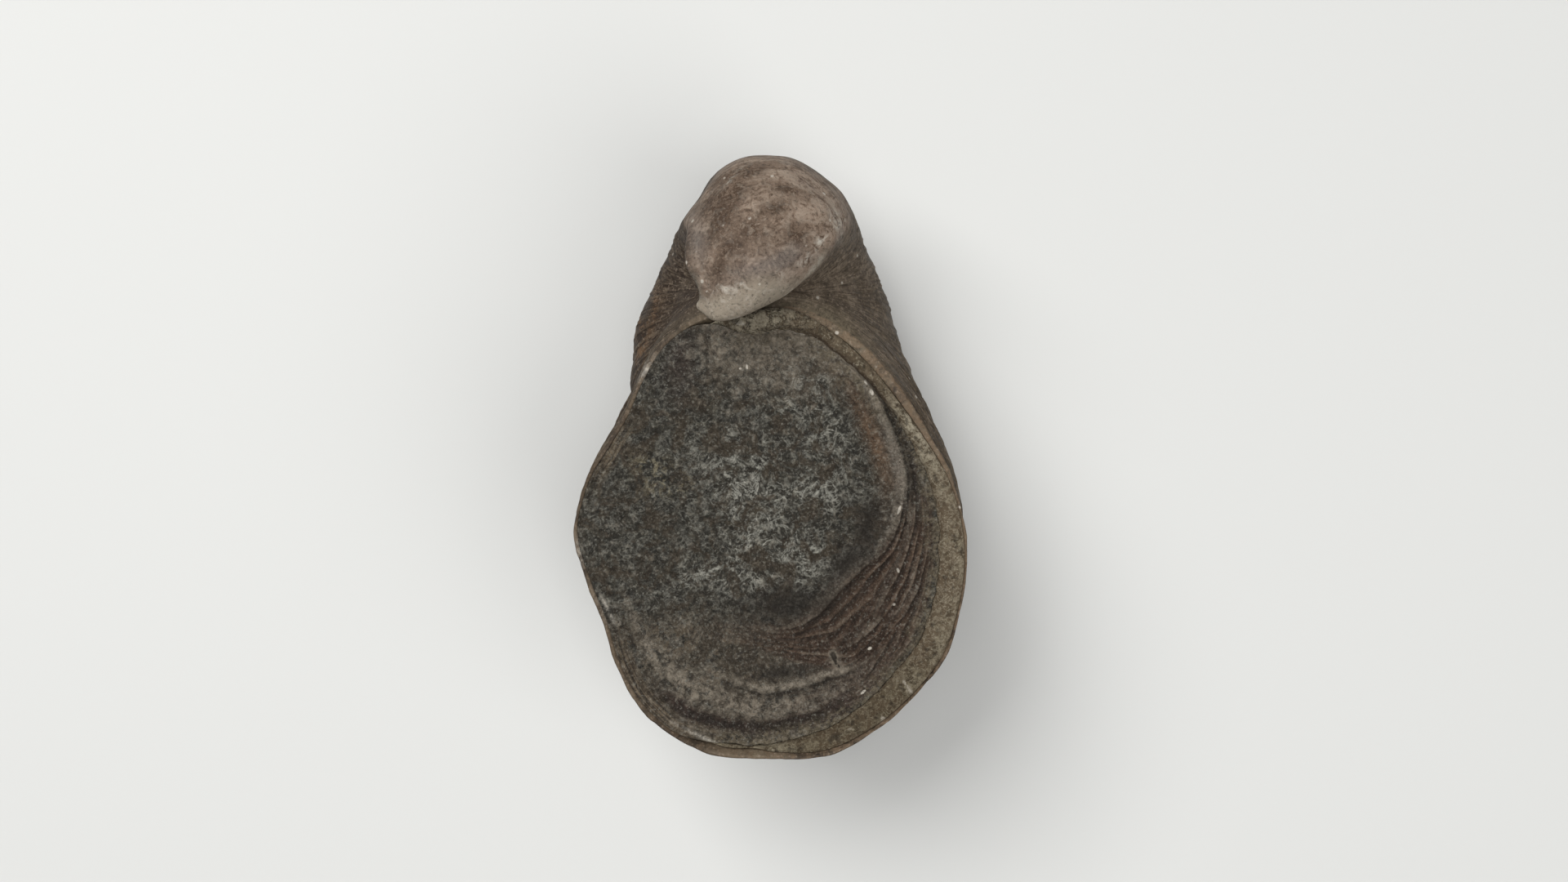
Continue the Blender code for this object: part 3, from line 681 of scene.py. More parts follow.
# Closed rings of growth on the lid, from the ledge that bounds its dish to its edge. The first takes up that
# ledge's crest from its fifth point on.
DISH_RING = ((4.1, 14.3), (7.9, 12.4), (10.8, 9.8), (12.3, 7.2), *LEDGES[0][0][4:], (-13.0, -18.5),
             (-16.5, -14.0), (-18.3, -8.0), (-16.5, -1.0), (-13.5, 4.5), (-10.5, 10.0), (-5.5, 13.6),
             (0.0, 14.6))
CRACK_RING = ((4.6, 14.4), (8.4, 12.0), (11.3, 9.4), (13.0, 6.9), (14.8, 3.6), (16.3, 0.0), (17.2, -4.3),
              (17.0, -8.0), (15.9, -12.1), (13.9, -16.8), (12.2, -20.6), (10.0, -24.4), (5.7, -26.8),
              (-0.3, -28.2), (-6.0, -27.0), (-11.5, -24.6), (-15.4, -19.5), (-18.2, -13.6), (-19.9, -8.1),
              (-18.4, -1.8), (-15.4, 4.0), (-12.0, 10.4), (-6.2, 14.2), (0.0, 14.9))
GROOVE_RING = ((4.9, 14.4), (9.0, 11.6), (12.2, 8.6), (14.4, 5.2), (16.6, 1.0), (18.1, -3.6), (18.7, -8.6),
               (18.2, -14.3), (16.6, -19.4), (13.9, -24.6), (8.7, -29.9), (2.6, -32.4), (-4.2, -32.5),
               (-10.5, -30.4), (-14.6, -26.3), (-17.2, -20.6), (-19.6, -13.6), (-21.2, -8.2),
               (-19.9, -2.6), (-16.8, 4.2), (-12.9, 10.6), (-6.8, 14.7), (0.0, 15.0))


def growth_level(bearing, distance):
    """0 in the middle, 1 on the dish's ledge, 2 on the cracked one, 3 in the groove and 4 at the edge."""
    rings = [outline_radius(ring, bearing) for ring in (DISH_RING, CRACK_RING, GROOVE_RING, LID_EDGE)]
    low = 0
    level = 0
    for high in rings:
        level = level + np.clip((distance - low) / (high - low), 0, 1)
        low = high
    return level


# The noise that bends the crackle takes a seed, so that it comes out the same each run.
CRACKLE_SEED = 5


def crackle(places, size, width):
    """1 on the lines between scattered cells, falling to 0 within the given width of them."""
    noise.seed_set(CRACKLE_SEED)
    gaps = []
    for place in places / size:
        here = Vector(place)
        near = noise.voronoi(here + noise.noise_vector(here) * 0.6)[0]
        gaps.append(near[1] - near[0])
    return step(width, 0, np.array(gaps))


# The fan of thin layers on the right: the level of growth that it starts at, how many layers it has, how many
# each level has outside it, and their height. By bearing in degrees, it spreads over so many levels and shows
# so much. Its layers run together towards its foot, and break off raggedly.
FAN_FROM = 0.95
FAN_LAYERS = 7.5
OUTER_LAYERS = 3.5
FAN_HEIGHT = 0.34 * MM
FAN_BEARING = (-130, -100, -85, -70, -55, -40, -20, 0, 20)
FAN_SPREAD = (0.30, 0.35, 0.50, 0.85, 1.4, 1.9, 2.3, 2.5, 2.5)
FAN_SHOWS = (0, 0.4, 0.65, 0.9, 1, 1, 1, 0.8, 0)
RAGGED_SIZE = 7 * MM

# Thin layers along the lid's edge on the left: how many millimetres each takes up, and their height.
BRINK_LAYER = 0.55
BRINK_HEIGHT = 0.12 * MM

# Light catches the crest of a ledge just inside its route, painted as a highlight, and painted shade lies at
# its foot.
LIT_FROM_CREST = -0.2 * MM
LIT_WIDTH = 0.42 * MM
FOOT_FROM_CREST = 0.6 * MM
FOOT_WIDTH = 0.26 * MM

# The crack through the cracked ledge, the sharper brow of two ledges, the gutter outside the dish, and the
# low step and the lumps by the hinge. A lump is an oval, as a stain is, and its height in millimetres.
CRACK = ((7.2, -23.3), (7.7, -24.2), (7.9, -25.0), (8.7, -26.0))
CRACK_DEPTH = 0.6 * MM
CRACK_WIDTH = 0.34 * MM
CRACK_SHADE_WIDTH = 0.7 * MM
BROW_HEIGHT = 0.12 * MM
BROW_WIDTH = 0.7 * MM
GUTTER_DEPTH = 0.15 * MM
GUTTER_WIDTH = 0.4 * MM
HINGE_STEP = ((-7.9, 15.6), (-7.7, 12.0), (-8.0, 8.0))
HINGE_STEP_HEIGHT = 0.32 * MM
HINGE_STEP_REACH = 3.5 * MM
LUMPS = ((3.2, 14.2, 1.7, 0.8, -35, 0.55), (-9.6, 12.3, 1.5, 1.0, 20, 0.35), (-1.5, 13.2, 1.6, 1.0, 0, 0.25),
         (-4.8, 12.6, 1.9, 1.2, 10, 0.22))

# How wide the lid's layers wander, its low humps, and the scabs, crumbs and veins that crust it.
WARP_SIZE = 6 * MM
HUMP_SIZE = 5 * MM
HUMP_HEIGHT = 0.25 * MM
SCAB_SIZE = 1.15 * MM
SCAB_HEIGHT = 0.15 * MM
CRUMB_SIZE = 0.5 * MM
CRUMB_HEIGHT = 0.05 * MM
VEIN_SIZE = 1.1 * MM
VEIN_HEIGHT = 0.07 * MM

# Stains on the lid, its dark places and its few white flecks, given as on the umbo. Lime is thinner on the
# dim places.
LIMED_PLACES = ((3.4, 8.0, 3.4, 2.8, 0), (-3.7, -1.8, 4.2, 3.8, 0), (5.6, -4.2, 3.0, 2.4, 0),
                (-1.8, -9.1, 3.6, 4.2, 0), (0.7, -15.0, 5.6, 1.6, 0), (4.1, -12.0, 3.0, 2.6, 0),
                (6.5, 1.8, 2.4, 2.6, 0), (-8.0, -14.5, 3.0, 1.2, 20))
# The last of the dark places, above the cracked ledge, is painted shade.
DEEP_PLACES = ((2.2, -18.0, 6.0, 2.4, 8), (9.0, -13.0, 3.0, 1.4, 40), (11.8, -8.4, 1.5, 3.2, -12),
               (0.8, -26.3, 3.4, 0.7, 8))
DIM_PLACES = ((-9.1, -9.1, 2.4, 3.4, 0), (8.0, -9.6, 3.2, 2.2, 0), (6.1, -0.3, 1.8, 1.6, 0),
              (-13.0, 6.6, 2.8, 3.0, 0), (-4.2, 5.6, 4.0, 1.4, 0), (2.2, -2.0, 2.2, 1.4, 40))
DUSK_PLACES = ((-10.6, 11.2, 2.0, 4.2, -8),)
CREAM_PLACES = ((-14.2, -1.4, 2.6, 1.2, -20), (-12.4, -3.8, 3.2, 1.0, 0))
FLAKE_LINES = ((-8.5, -33.7, 3.4, 0.22, -26), (-19.6, -18.4, 1.8, 0.2, -64), (3.0, 15.2, 1.5, 0.4, -25))
WHITE_FLECKS = ((10.6, 10.3, 0.35, 0.18, -50), (11.5, 8.7, 0.4, 0.2, -60), (12.2, 7.5, 0.5, 0.28, -65),
                (15.4, -13.9, 0.2, 0.4, 20), (14.9, -18.0, 0.26, 0.22, 0), (12.0, -23.3, 0.35, 0.22, 30),
                (15.5, -6.6, 0.2, 0.7, -20), (-2.8, 10.6, 0.18, 0.4, 0), (-3.6, 10.4, 0.18, 0.22, 0),
                (11.2, -28.5, 0.5, 0.2, 40))


def faded(along, fade):
    """1 along a route, falling to 0 at both its ends."""
    return step(0, fade, np.minimum(along, 1 - along))


def fan_layers(degrees, level, x, y, warp):
    """Where the fan and the layers below it show, and the rise of each layer."""
    across = (level - FAN_FROM) / smooth(degrees, FAN_BEARING, FAN_SPREAD)
    fan = smooth(degrees, FAN_BEARING, FAN_SHOWS) * step(-0.06, 0.10, across) * step(1.15, 0.95, across)
    below_fan = step(0.9, 1.1, across) * step(3.9, 3.5, level) * bump(degrees, -38, 36)
    layer = np.where(across < 1, across * FAN_LAYERS, level * OUTER_LAYERS) + 0.5 * warp
    edge = wear(np.stack([x / RAGGED_SIZE, y / RAGGED_SIZE, np.floor(layer) * 5.3], axis=-1), 2)
    return np.maximum(fan, 0.8 * below_fan), flakes(layer) * (0.45 + 0.55 * step(-0.4, 0.4, edge))


def brink_layers(bearing, degrees, y, brink, snug, warp, scab):
    """Where thin layers line the lid's edge, at its lower and upper left, and the rise of each."""
    lower_left = step(0.42, 0.9, np.abs(bearing - math.pi)) * snug * step(-0.5, -0.2, -np.sin(bearing))
    upper_left = bump(degrees, 157, 11) * snug
    shows = np.maximum(lower_left * step(3 * MM, -6 * MM, y), upper_left)
    layer = brink / BRINK_LAYER + 0.8 * warp + 0.15 * scab
    return shows, flakes(-layer) * step(2.6, 1.6, brink) * shows


def ledge_relief(off_ledges):
    """Height of the ledges, and where their crests take a painted highlight and their feet a painted shade.
    """
    ledges = 0
    lit = 0
    foot = 0
    for (off, along), ledge, keep in zip(off_ledges, LEDGES, LEDGES_KEEP):
        height, outer, inner = ledge[1:]
        ends = faded(along, LEDGE_FADE)
        ledges = ledges + keep * height * MM * ends * bump(off, 0, np.where(off > 0, outer, inner) * MM)
        lit = np.maximum(lit, ends * bump(off, LIT_FROM_CREST, LIT_WIDTH) * (height > 0))
        foot = np.maximum(foot, ends * bump(off, FOOT_FROM_CREST, FOOT_WIDTH) * (height > 0))
    return ledges, lit, foot


def crack_relief(x, y, scab):
    """Depth of the crack, from 0 to 1, and the same with the broken shell along it."""
    off, along = beside_route(x, y, CRACK)
    crack = bump(off + 0.3 * MM * scab, 0, CRACK_WIDTH * (1.3 - 0.8 * along + 0.5 * scab))
    crack = crack * faded(along, 0.25)
    return crack, np.maximum(crack, bump(off, 0, CRACK_SHADE_WIDTH) * 0.4 * step(0, 0.1, along))


def hinge_relief(x, y):
    """Height of the step and the lumps by the hinge."""
    off, along = beside_route(x, y, HINGE_STEP)
    low_step = HINGE_STEP_HEIGHT * step(0.3 * MM, -0.3 * MM, off) * bump(off, 0, HINGE_STEP_REACH)
    low_step = low_step * step(0, 0.3, along) * step(1, 0.6, along)
    return low_step + sum(height * MM * spots(x, y, (oval,)) for *oval, height in LUMPS)


def right_valve_shape(angle, ring, column):
    """Rings from the middle of the lid's upper face out to its edge, round it, and back underneath."""
    bearing = angle % FULL_TURN
    degrees = (np.degrees(angle) + 180) % 360 - 180
    edge, edge_top, snug = lid_edge(bearing)
    above = ring <= LID_RINGS
    round_edge = np.clip((ring - LID_RINGS) / EDGE_RINGS, 0, 1)
    back = np.clip((LID_RINGS + EDGE_RINGS + UNDER_RINGS - ring) / UNDER_RINGS, 0, 1)
    beyond = ring > LID_RINGS + EDGE_RINGS
    side = edge - LID_UNDERCUT * round_edge ** 1.5
    out = (np.clip(ring, 0, LID_RINGS) / LID_RINGS) ** LID_POWER
    distance = np.where(above, edge * out, np.where(beyond, (edge - LID_UNDERCUT) * back, side))
    x = MIDDLE_X + distance * np.cos(angle)
    y = MIDDLE_Y + distance * np.sin(angle)
    place = np.stack([x, y, y * 0], axis=-1)
    share = distance / edge
    brink = (edge - distance) / MM

    level = growth_level(bearing, distance)
    warp = wear(place / WARP_SIZE, 2)
    scab = wear(place / SCAB_SIZE, 4)
    fan, ridge = fan_layers(degrees, level, x, y, warp)
    rim_lines, brink_ridge = brink_layers(bearing, degrees, y, brink, snug, warp, scab)
    off_ledges = [beside_route(x, y, ledge[0]) for ledge in LEDGES]
    ledges, lit, foot = ledge_relief(off_ledges)
    crack, crack_shade = crack_relief(x, y, scab)

    off_dish = off_ledges[0][0]
    off_groove, along_groove = off_ledges[3]
    before_hinge = step(15 * MM, 12 * MM, y)
    brow = bump(off_dish, 0, BROW_WIDTH) * step(-9 * MM, -5 * MM, y) * before_hinge
    brow = brow + bump(off_ledges[2][0], 0, 0.8 * BROW_WIDTH) * step(-23 * MM, -25 * MM, y)
    gutter = bump(off_dish, 0.9 * MM + 0.5 * MM * step(7 * MM, -1 * MM, y), GUTTER_WIDTH)
    gutter = gutter * step(-8 * MM, -2 * MM, y) * before_hinge
    crest = bump(off_dish, -0.1 * MM, 1.0 * MM) * bump(y, -1.4 * MM, 4.2 * MM)

    vein = crackle(place, VEIN_SIZE, 0.22) * step(-0.35, 0.1, scab)
    rough = (1 - 0.85 * crest) * (1 - 0.4 * fan)
    scabs = (SCAB_HEIGHT * scab * (1 + 0.3 * step(9 * MM, 13 * MM, y)) + VEIN_HEIGHT * vein) * rough
    scabs = scabs + CRUMB_HEIGHT * wear(place / CRUMB_SIZE, 2) * rough
    layers = FAN_HEIGHT * ridge * fan + BRINK_HEIGHT * brink_ridge
    fine = layers + scabs - CRACK_DEPTH * crack - GUTTER_DEPTH * gutter
    hump = HUMP_HEIGHT * wear(place / HUMP_SIZE, 2) * step(1.0, 0.7, share)
    relief = ledges + BROW_HEIGHT * brow + fine + hinge_relief(x, y) + hump

    top = lid_base(x, y) + relief * step(1.0, 0.98, share) + scabs * 0.5 * step(0.95, 1.0, share)
    under = lid_under(x, y, distance / (edge - LID_UNDERCUT))
    wall = edge_top - LID_EDGE_THICKNESS * round_edge ** 0.7
    height = np.where(above, top, np.where(beyond, under, wall))
    on_fan = step(-6 * MM, -11 * MM, y) * step(-24 * MM, -22 * MM, y)
    marks = {
        "growth": np.stack([np.cos(angle), np.sin(angle), level], axis=-1),
        "brink": np.stack([np.cos(angle), np.sin(angle), brink], axis=-1),
        # Hollow and vale: how far the relief lies low, near by and over a wider reach, for painted shade and
        # painted highlight.
        "hollow": recesses(np.where(above, relief, 0), ring, column, 5, 4, 0.16 * MM),
        "vale": recesses(np.where(above, relief, 0), ring, column, 14, 10, 0.45 * MM),
        "vein": vein,
        "fan": fan,
        "ridge": ridge,
        "crest": crest,
        "lit": lit * (1 - crest) * step(-0.5, 0.3, scab + 0.2) * (1 - 0.75 * on_fan),
        "foot": foot * (1 - 0.6 * on_fan),
        "crack": crack_shade,
        "gutter": gutter,
        "groove": bump(off_groove + 0.25 * MM * warp, 0, 0.85 * MM) * faded(along_groove, 0.12),
        "hinge": (step(5 * MM, 14 * MM, y + 3.0 * MM * warp + 1.5 * MM * scab)
                  * step(-8.6, -7.3, x / MM + 0.6 * scab)),
        "rust": bump(off_dish, -2.0 * MM, 1.1 * MM) * bump(y, 2 * MM, 7 * MM) * step(4 * MM, 9 * MM, x),
        "dusk": spots(x, y, DUSK_PLACES) * step(-7.2, -8.2, x / MM + 0.4 * scab),
        "lower": step(-17 * MM, -23 * MM, y + 1.5 * MM * warp) * step(-9.0, 3.0, -x / MM),
        "pale": bump(level, 2.45, 0.36) * step(-0.35, -0.75, np.sin(angle)),
        "deep": spots(x, y, DEEP_PLACES),
        "lime": spots(x, y, LIMED_PLACES) * (1 - 0.8 * spots(x, y, DIM_PLACES)),
        "cream": spots(x, y, CREAM_PLACES),
        "lamellae": rim_lines * step(2.4, 0.9, brink + 0.5 * scab),
        "flake": spots(x, y, FLAKE_LINES),
        "dusted": (1 - snug) * step(2.4, 0.2, brink + 1.2 * scab + 0.9 * warp) * step(16 * MM, 12 * MM, y),
        "white": spots(x, y, WHITE_FLECKS),
    }
    return np.stack([x, y, height], axis=-1), marks


right_valve = closed_piece("right_valve_flaky", LID_AROUND, LID_RINGS + EDGE_RINGS + UNDER_RINGS,
                           right_valve_shape)

LID_OLIVE = colour(60, 56, 48)
LID_BLACK = colour(34, 32, 27)
LID_BROWN = colour(72, 61, 48)
LIME_GREY = colour(134, 132, 122)
LIME_PALE = colour(144, 142, 132)
LIME_HAZE = colour(80, 77, 70)
LID_RUST = colour(96, 75, 57)
HINGE_TAUPE = colour(104, 95, 83)
DUSK_GREY = colour(58, 51, 47)
DEEP_GREY = colour(42, 38, 33)
FAN_DARK = colour(44, 32, 24)
FAN_TAN = colour(82, 65, 52)
CREST_GREY = colour(104, 95, 85)
LOWER_TAN = colour(88, 77, 63)
PALE_TAN = colour(122, 113, 100)
GROOVE_RED = colour(52, 41, 35)
CREAM = colour(134, 125, 102)

lid = new_finish(right_valve, "flaky lid")
place = lid.place()
growth = lid.mark("growth", "Vector")
brink = lid.mark("brink", "Vector")
hollow = lid.mark("hollow")
vale = lid.mark("vale")
fan = lid.mark("fan")
crest = lid.mark("crest")
lime = lid.mark("lime")
crack = lid.mark("crack")
hinge = lid.mark("hinge")
streaks = growth.stretch(3.0, 3.0, 9.0).cloud(1.0, 4.0, 0.65)
lines = brink.stretch(3.0, 3.0, 3.2).cloud(1.0, 3.0, 0.6)
patchy = place.cloud(3.2, 5.0, 0.68, 0.8)
mid = place.cloud(1.1, 5.0, 0.7, 0.8)
grain = place.cloud(0.34, 3.0, 0.7)
coarse_threads = place.threads(2.2, 0.045, 0.8)
fine_threads = place.threads(1.0, 0.06)
dots = place.cells(0.75).between(0.26, 0.12) * mid.between(0.44, 0.56)

limed = (lime * 0.75 + 0.2) * patchy.between(0.40, 0.56)
# Each fan layer is painted paler towards its raised edge, as highlight, over streaks of its own tones.
ridges = lid.mark("ridge").between(0.25, 0.8) * 0.6 + streaks.between(0.38, 0.64) * 0.5
surface = layered(
    mid.between(0.40, 0.66).mix(LID_BLACK, LID_OLIVE),
    (patchy.between(0.52, 0.40) * 0.4, LID_BROWN),
    # Lime: a haze, veins, threads and dots.
    (limed * mid.between(0.46, 0.68) * 0.35, LIME_HAZE),
    (limed * lid.mark("vein") * mid.between(0.28, 0.52), LIME_GREY),
    (limed * coarse_threads * mid.between(0.30, 0.50) * 1.3, LIME_PALE),
    (limed * fine_threads * 0.2, LIME_GREY),
    (dots * 0.4, LIME_GREY),
    # The tones of its regions.
    (hinge * (mid.between(0.34, 0.56) * 0.7 + 0.2), HINGE_TAUPE),
    (lid.mark("rust") * (mid * 0.8 + 0.35), LID_RUST),
    (lid.mark("dusk") * 0.7, patchy.between(0.42, 0.58).mix(DUSK_GREY, GROOVE_RED)),
    (lid.mark("lower") * patchy.between(0.40, 0.6) * mid.between(0.36, 0.56) * 0.75, LOWER_TAN),
    (lid.mark("pale") * (mid.between(0.38, 0.60) * 0.7 + 0.1), PALE_TAN),
    (lid.mark("cream") * mid.between(0.48, 0.60) * 0.6, CREAM),
    # Broken layers: the fan, with painted highlight on its layers, the dish's crest, the groove, painted
    # shade in the gutter, and the edge.
    (fan * 1.15, ridges.mix(FAN_DARK, FAN_TAN)),
    (crest * (mid * 0.6 + 0.6), CREST_GREY),
    (lid.mark("groove") * (mid * 0.8 + 0.7), GROOVE_RED),
    (lid.mark("dusted") * mid.between(0.38, 0.54) * 0.8, CRUMB_OLIVE),
    # Painted shade in the gutter outside the dish.
    (lid.mark("gutter") * 0.5, FAN_DARK),
    (lid.mark("lamellae") * 0.9, lines.between(0.38, 0.62).mix(LINE_DARK, LINE_PALE)),
    (lid.mark("flake") * mid.between(0.34, 0.52) * 0.75, FLECK_WHITE),
    # Painted shade at ledges' feet and in what lies low, painted highlight on crests and on what stands high,
    # and grain.
    (lid.mark("foot") * 0.9, GRIME_AND_SHADE),
    (lid.mark("lit") * 0.7, PALE_TAN),
    (vale.between(0.15, 0.9) * 0.4, GRIME_AND_SHADE),
    ((0 - vale).between(0.1, 0.9) * 0.15, PALE_TAN),
    (hollow.between(0.05, 0.9) * (0.6 - hinge * 0.3 - fan * 0.2), GRIME_AND_SHADE),
    ((0 - hollow).between(0.1, 1.0) * (0.35 - fan * 0.1), PALE_TAN),
    (grain.between(0.49, 0.33) * (0.5 - hinge * 0.2), LID_BLACK),
    (grain.between(0.53, 0.68) * (limed * 0.4 + 0.3), LIME_GREY),
    # Dark places by the pit, painted shade above the cracked ledge and in the crack, and the white flecks.
    (lid.mark("deep") * 0.88, mid.between(0.3, 0.7).mix(GRIME_AND_SHADE, DEEP_GREY)),
    (crack.between(0.15, 0.42) * 0.8, PALE_TAN),
    (crack.between(0.42, 0.85) * 0.85, GRIME_AND_SHADE),
    (lid.mark("white").between(0.4, 0.7) * 0.85, FLECK_WHITE),
)
lid_roughness = mid.between(0.3, 0.7) * 0.25 + 0.58 - crest * 0.15
lid_normal = lid.raised(mid + fine_threads * 0.5, 0.25 * MM, 0.8)
lid_normal = lid.raised(grain, 0.12 * MM, 0.8, lid_normal)
finish(right_valve, "right_valve", lid_roughness, surface, lid_normal)

# Sediment. Sandy, limy mud that filled the space between the valves and hardened there. It shows as a rough
# band beside the lid and as a crumb under the beak, and sticks to both valves.

# The fill's gap to the left valve grows towards the hinge and the cavity's end. The fill shows as a band
# where there is room for it, and as a tongue at the hinge.
FILL_GAP = 0.08 * MM
HINGE_GAP = 0.03 * MM
DEEP_GAP = 1.2 * MM
FILL_ENDS = 95.5
BAND_FROM = 0.5 * MM
BAND_FULL = 1.2 * MM
BAND_LEAST = 0.5 * MM
BAND_SINK = 0.12 * MM
BAND_BULGE = 0.25 * MM
BAND_LIP_TURN = 0.5
LID_CLEARANCE = 0.06 * MM
UNDER_LID = 0.9 * MM
TONGUE_BEARING = math.radians(87)
TONGUE_WIDTH = 0.2
TONGUE_FROM = 0.2
TONGUE_FULL = 0.5
TONGUE_REACH = 0.8 * MM
TONGUE_RISE = 0.9 * MM
TONGUE_BULGE = 0.3 * MM
SAND_SIZE = 0.6 * MM
SAND_HEIGHT = 0.14 * MM
CLOD_SIZE = 2.2 * MM
CLOD_HEIGHT = 0.2 * MM

# Columns and rings of its mesh.
SAND_AROUND = 720
FLOOR_RINGS = 3
BAND_STEPS = 9
DEEP_RINGS = 6


def through(stops, at):
    """A smooth curve through a list of stops, read at a number from 0 to the last stop's."""
    stops = np.array(stops)
    low = np.clip(np.floor(at).astype(int), 0, len(stops) - 2)
    share = at - low
    column = np.arange(len(at))
    near = (np.clip(low + shift, 0, len(stops) - 1) for shift in (-1, 0, 1, 2))
    before, start, end, after = (stops[stop, column] for stop in near)
    rise = (end - before) / 2
    fall = (after - start) / 2
    return ((2 * share ** 3 - 3 * share ** 2 + 1) * start + (share ** 3 - 2 * share ** 2 + share) * rise
            + (3 * share ** 2 - 2 * share ** 3) * end + (share ** 3 - share ** 2) * fall)


def sediment_shape(angle, ring, column):
    """Rings from the middle of its floor under the lid, over the band beside it, and down the cavity."""
    margin = margin_turn(angle)
    rim = coil(angle, margin)
    bearing, rim_distance = polar(rim[:, 0], rim[:, 1])
    edge, lid_height, snug = lid_edge(bearing)
    tongue = bump(bearing, TONGUE_BEARING, TONGUE_WIDTH)
    room = rim_distance - rim_wall(angle) - FILL_GAP - outline_radius(LID_EDGE, bearing) - LID_CLEARANCE
    shows = np.maximum(step(BAND_FROM, BAND_FULL, room) * (1 - snug), step(TONGUE_FROM, TONGUE_FULL, tongue))
    wall_gap = FILL_GAP + HINGE_GAP * step(0, 1, np.sin(angle))
    low = lid_height - LID_EDGE_THICKNESS - FILL_GAP
    low_turn = np.degrees(np.arcsin(-low / (DEPTH * (COIL_Y - rim[:, 1] + WALL[1] * MM))))
    lip_turn = low_turn + (margin + BAND_LIP_TURN - low_turn) * shows
    lip = cavity(angle, lip_turn, margin, wall_gap, CAVITY_ENDS)
    lip_bearing, lip_distance = polar(lip[:, 0], lip[:, 1])
    lip_height = lip[:, 2]
    tongue = tongue * shows ** 2
    outer = lip_distance + tongue * TONGUE_REACH
    outer_height = lip_height + (rim[:, 2] - BAND_SINK + tongue * TONGUE_RISE - lip_height) * shows
    inner = outer - BAND_LEAST
    inner = np.where(shows > 0, np.minimum(lid_edge(lip_bearing)[0] + LID_CLEARANCE, inner), inner)
    inner_height = low + (lid_height - BAND_SINK + tongue * TONGUE_RISE - low) * shows
    corner = np.minimum(edge - UNDER_LID, inner - BAND_LEAST)
    bulge = (BAND_BULGE + TONGUE_BULGE * tongue) * shows
    neck_height = np.where(tongue > TONGUE_FROM, rim[:, 2] + FILL_GAP, (lip_height + outer_height) / 2)
    far = (corner, inner, inner * 0.75 + outer * 0.25, inner * 0.25 + outer * 0.75, outer, lip_distance,
           lip_distance)
    tall = (low, inner_height, inner_height * 0.75 + outer_height * 0.25 + bulge,
            inner_height * 0.25 + outer_height * 0.75 + bulge, outer_height, neck_height, lip_height)
    band_rings = BAND_STEPS * (len(far) - 1)

    at = np.clip((ring - FLOOR_RINGS) / BAND_STEPS, 0, len(far) - 1)
    distance = np.where(ring < FLOOR_RINGS, corner * ring / FLOOR_RINGS, through(far, at))
    x = MIDDLE_X + distance * np.cos(lip_bearing)
    y = MIDDLE_Y + distance * np.sin(lip_bearing)
    under = lid_under(x, y, distance / (edge - LID_UNDERCUT)) - FILL_GAP
    height = np.where(ring < FLOOR_RINGS, under, through(tall, at))
    height = np.where(shows == 0, np.minimum(height, np.maximum(under, low)), height)

    open_top = bump(at, 2.6, 1.5) * shows
    place = np.stack([x, y, height], axis=-1)
    sand = wear(place / SAND_SIZE, 3)
    clods = wear(place / CLOD_SIZE, 2)
    place[:, 2] += (SAND_HEIGHT * sand + CLOD_HEIGHT * clods) * open_top

    inside = np.clip((ring - FLOOR_RINGS - band_rings) / DEEP_RINGS, 0, 1) ** CAVITY_POWER
    turn = lip_turn + (FILL_ENDS - lip_turn) * inside
    side = cavity(angle, turn, margin, wall_gap + (DEEP_GAP - FILL_GAP) * inside, FILL_ENDS)
    places = np.where((inside > 0)[:, None], side, place)
    upper = step(1 * MM, 6 * MM, y) * step(2 * MM, 6 * MM, x)
    marks = {
        # Hollow marks where the sand lies low, for painted shade; gutter carries the dish's painted gutter
        # shade on beside the lid.
        "hollow": np.clip(-sand * 1.2 - clods * 0.5, -1, 1) * open_top,
        "foot": step(2.8, 1.2, at + 0.9 * clods) * shows,
        "crumb": step(12 * MM, 14 * MM, y),
        "gutter": step(2.4, 1.2, at + 0.4 * clods) * upper * shows,
        "brow": step(2.9, 3.8, at) * shows,
        "upper": np.maximum(bump(y, 3 * MM, 5 * MM) * step(0, 6 * MM, x), step(4 * MM, 1 * MM, x)),
        # Olive: the upper right, painted darker as shade.
        "olive": step(5 * MM, 9 * MM, y) * step(3 * MM, 6 * MM, x),
        "lower": step(-20 * MM, -30 * MM, y),
    }
    return places, marks


sediment = closed_piece("sediment_sandy", SAND_AROUND, FLOOR_RINGS + BAND_STEPS * 6 + DEEP_RINGS,
                        sediment_shape)

SAND_OLIVE = colour(108, 99, 82)
SAND_DARK = colour(66, 57, 44)
SAND_LIGHT = colour(146, 138, 120)
SAND_BROWN = colour(82, 70, 55)
LOWER_SHADE = (0.68, 0.66, 0.62, 1)

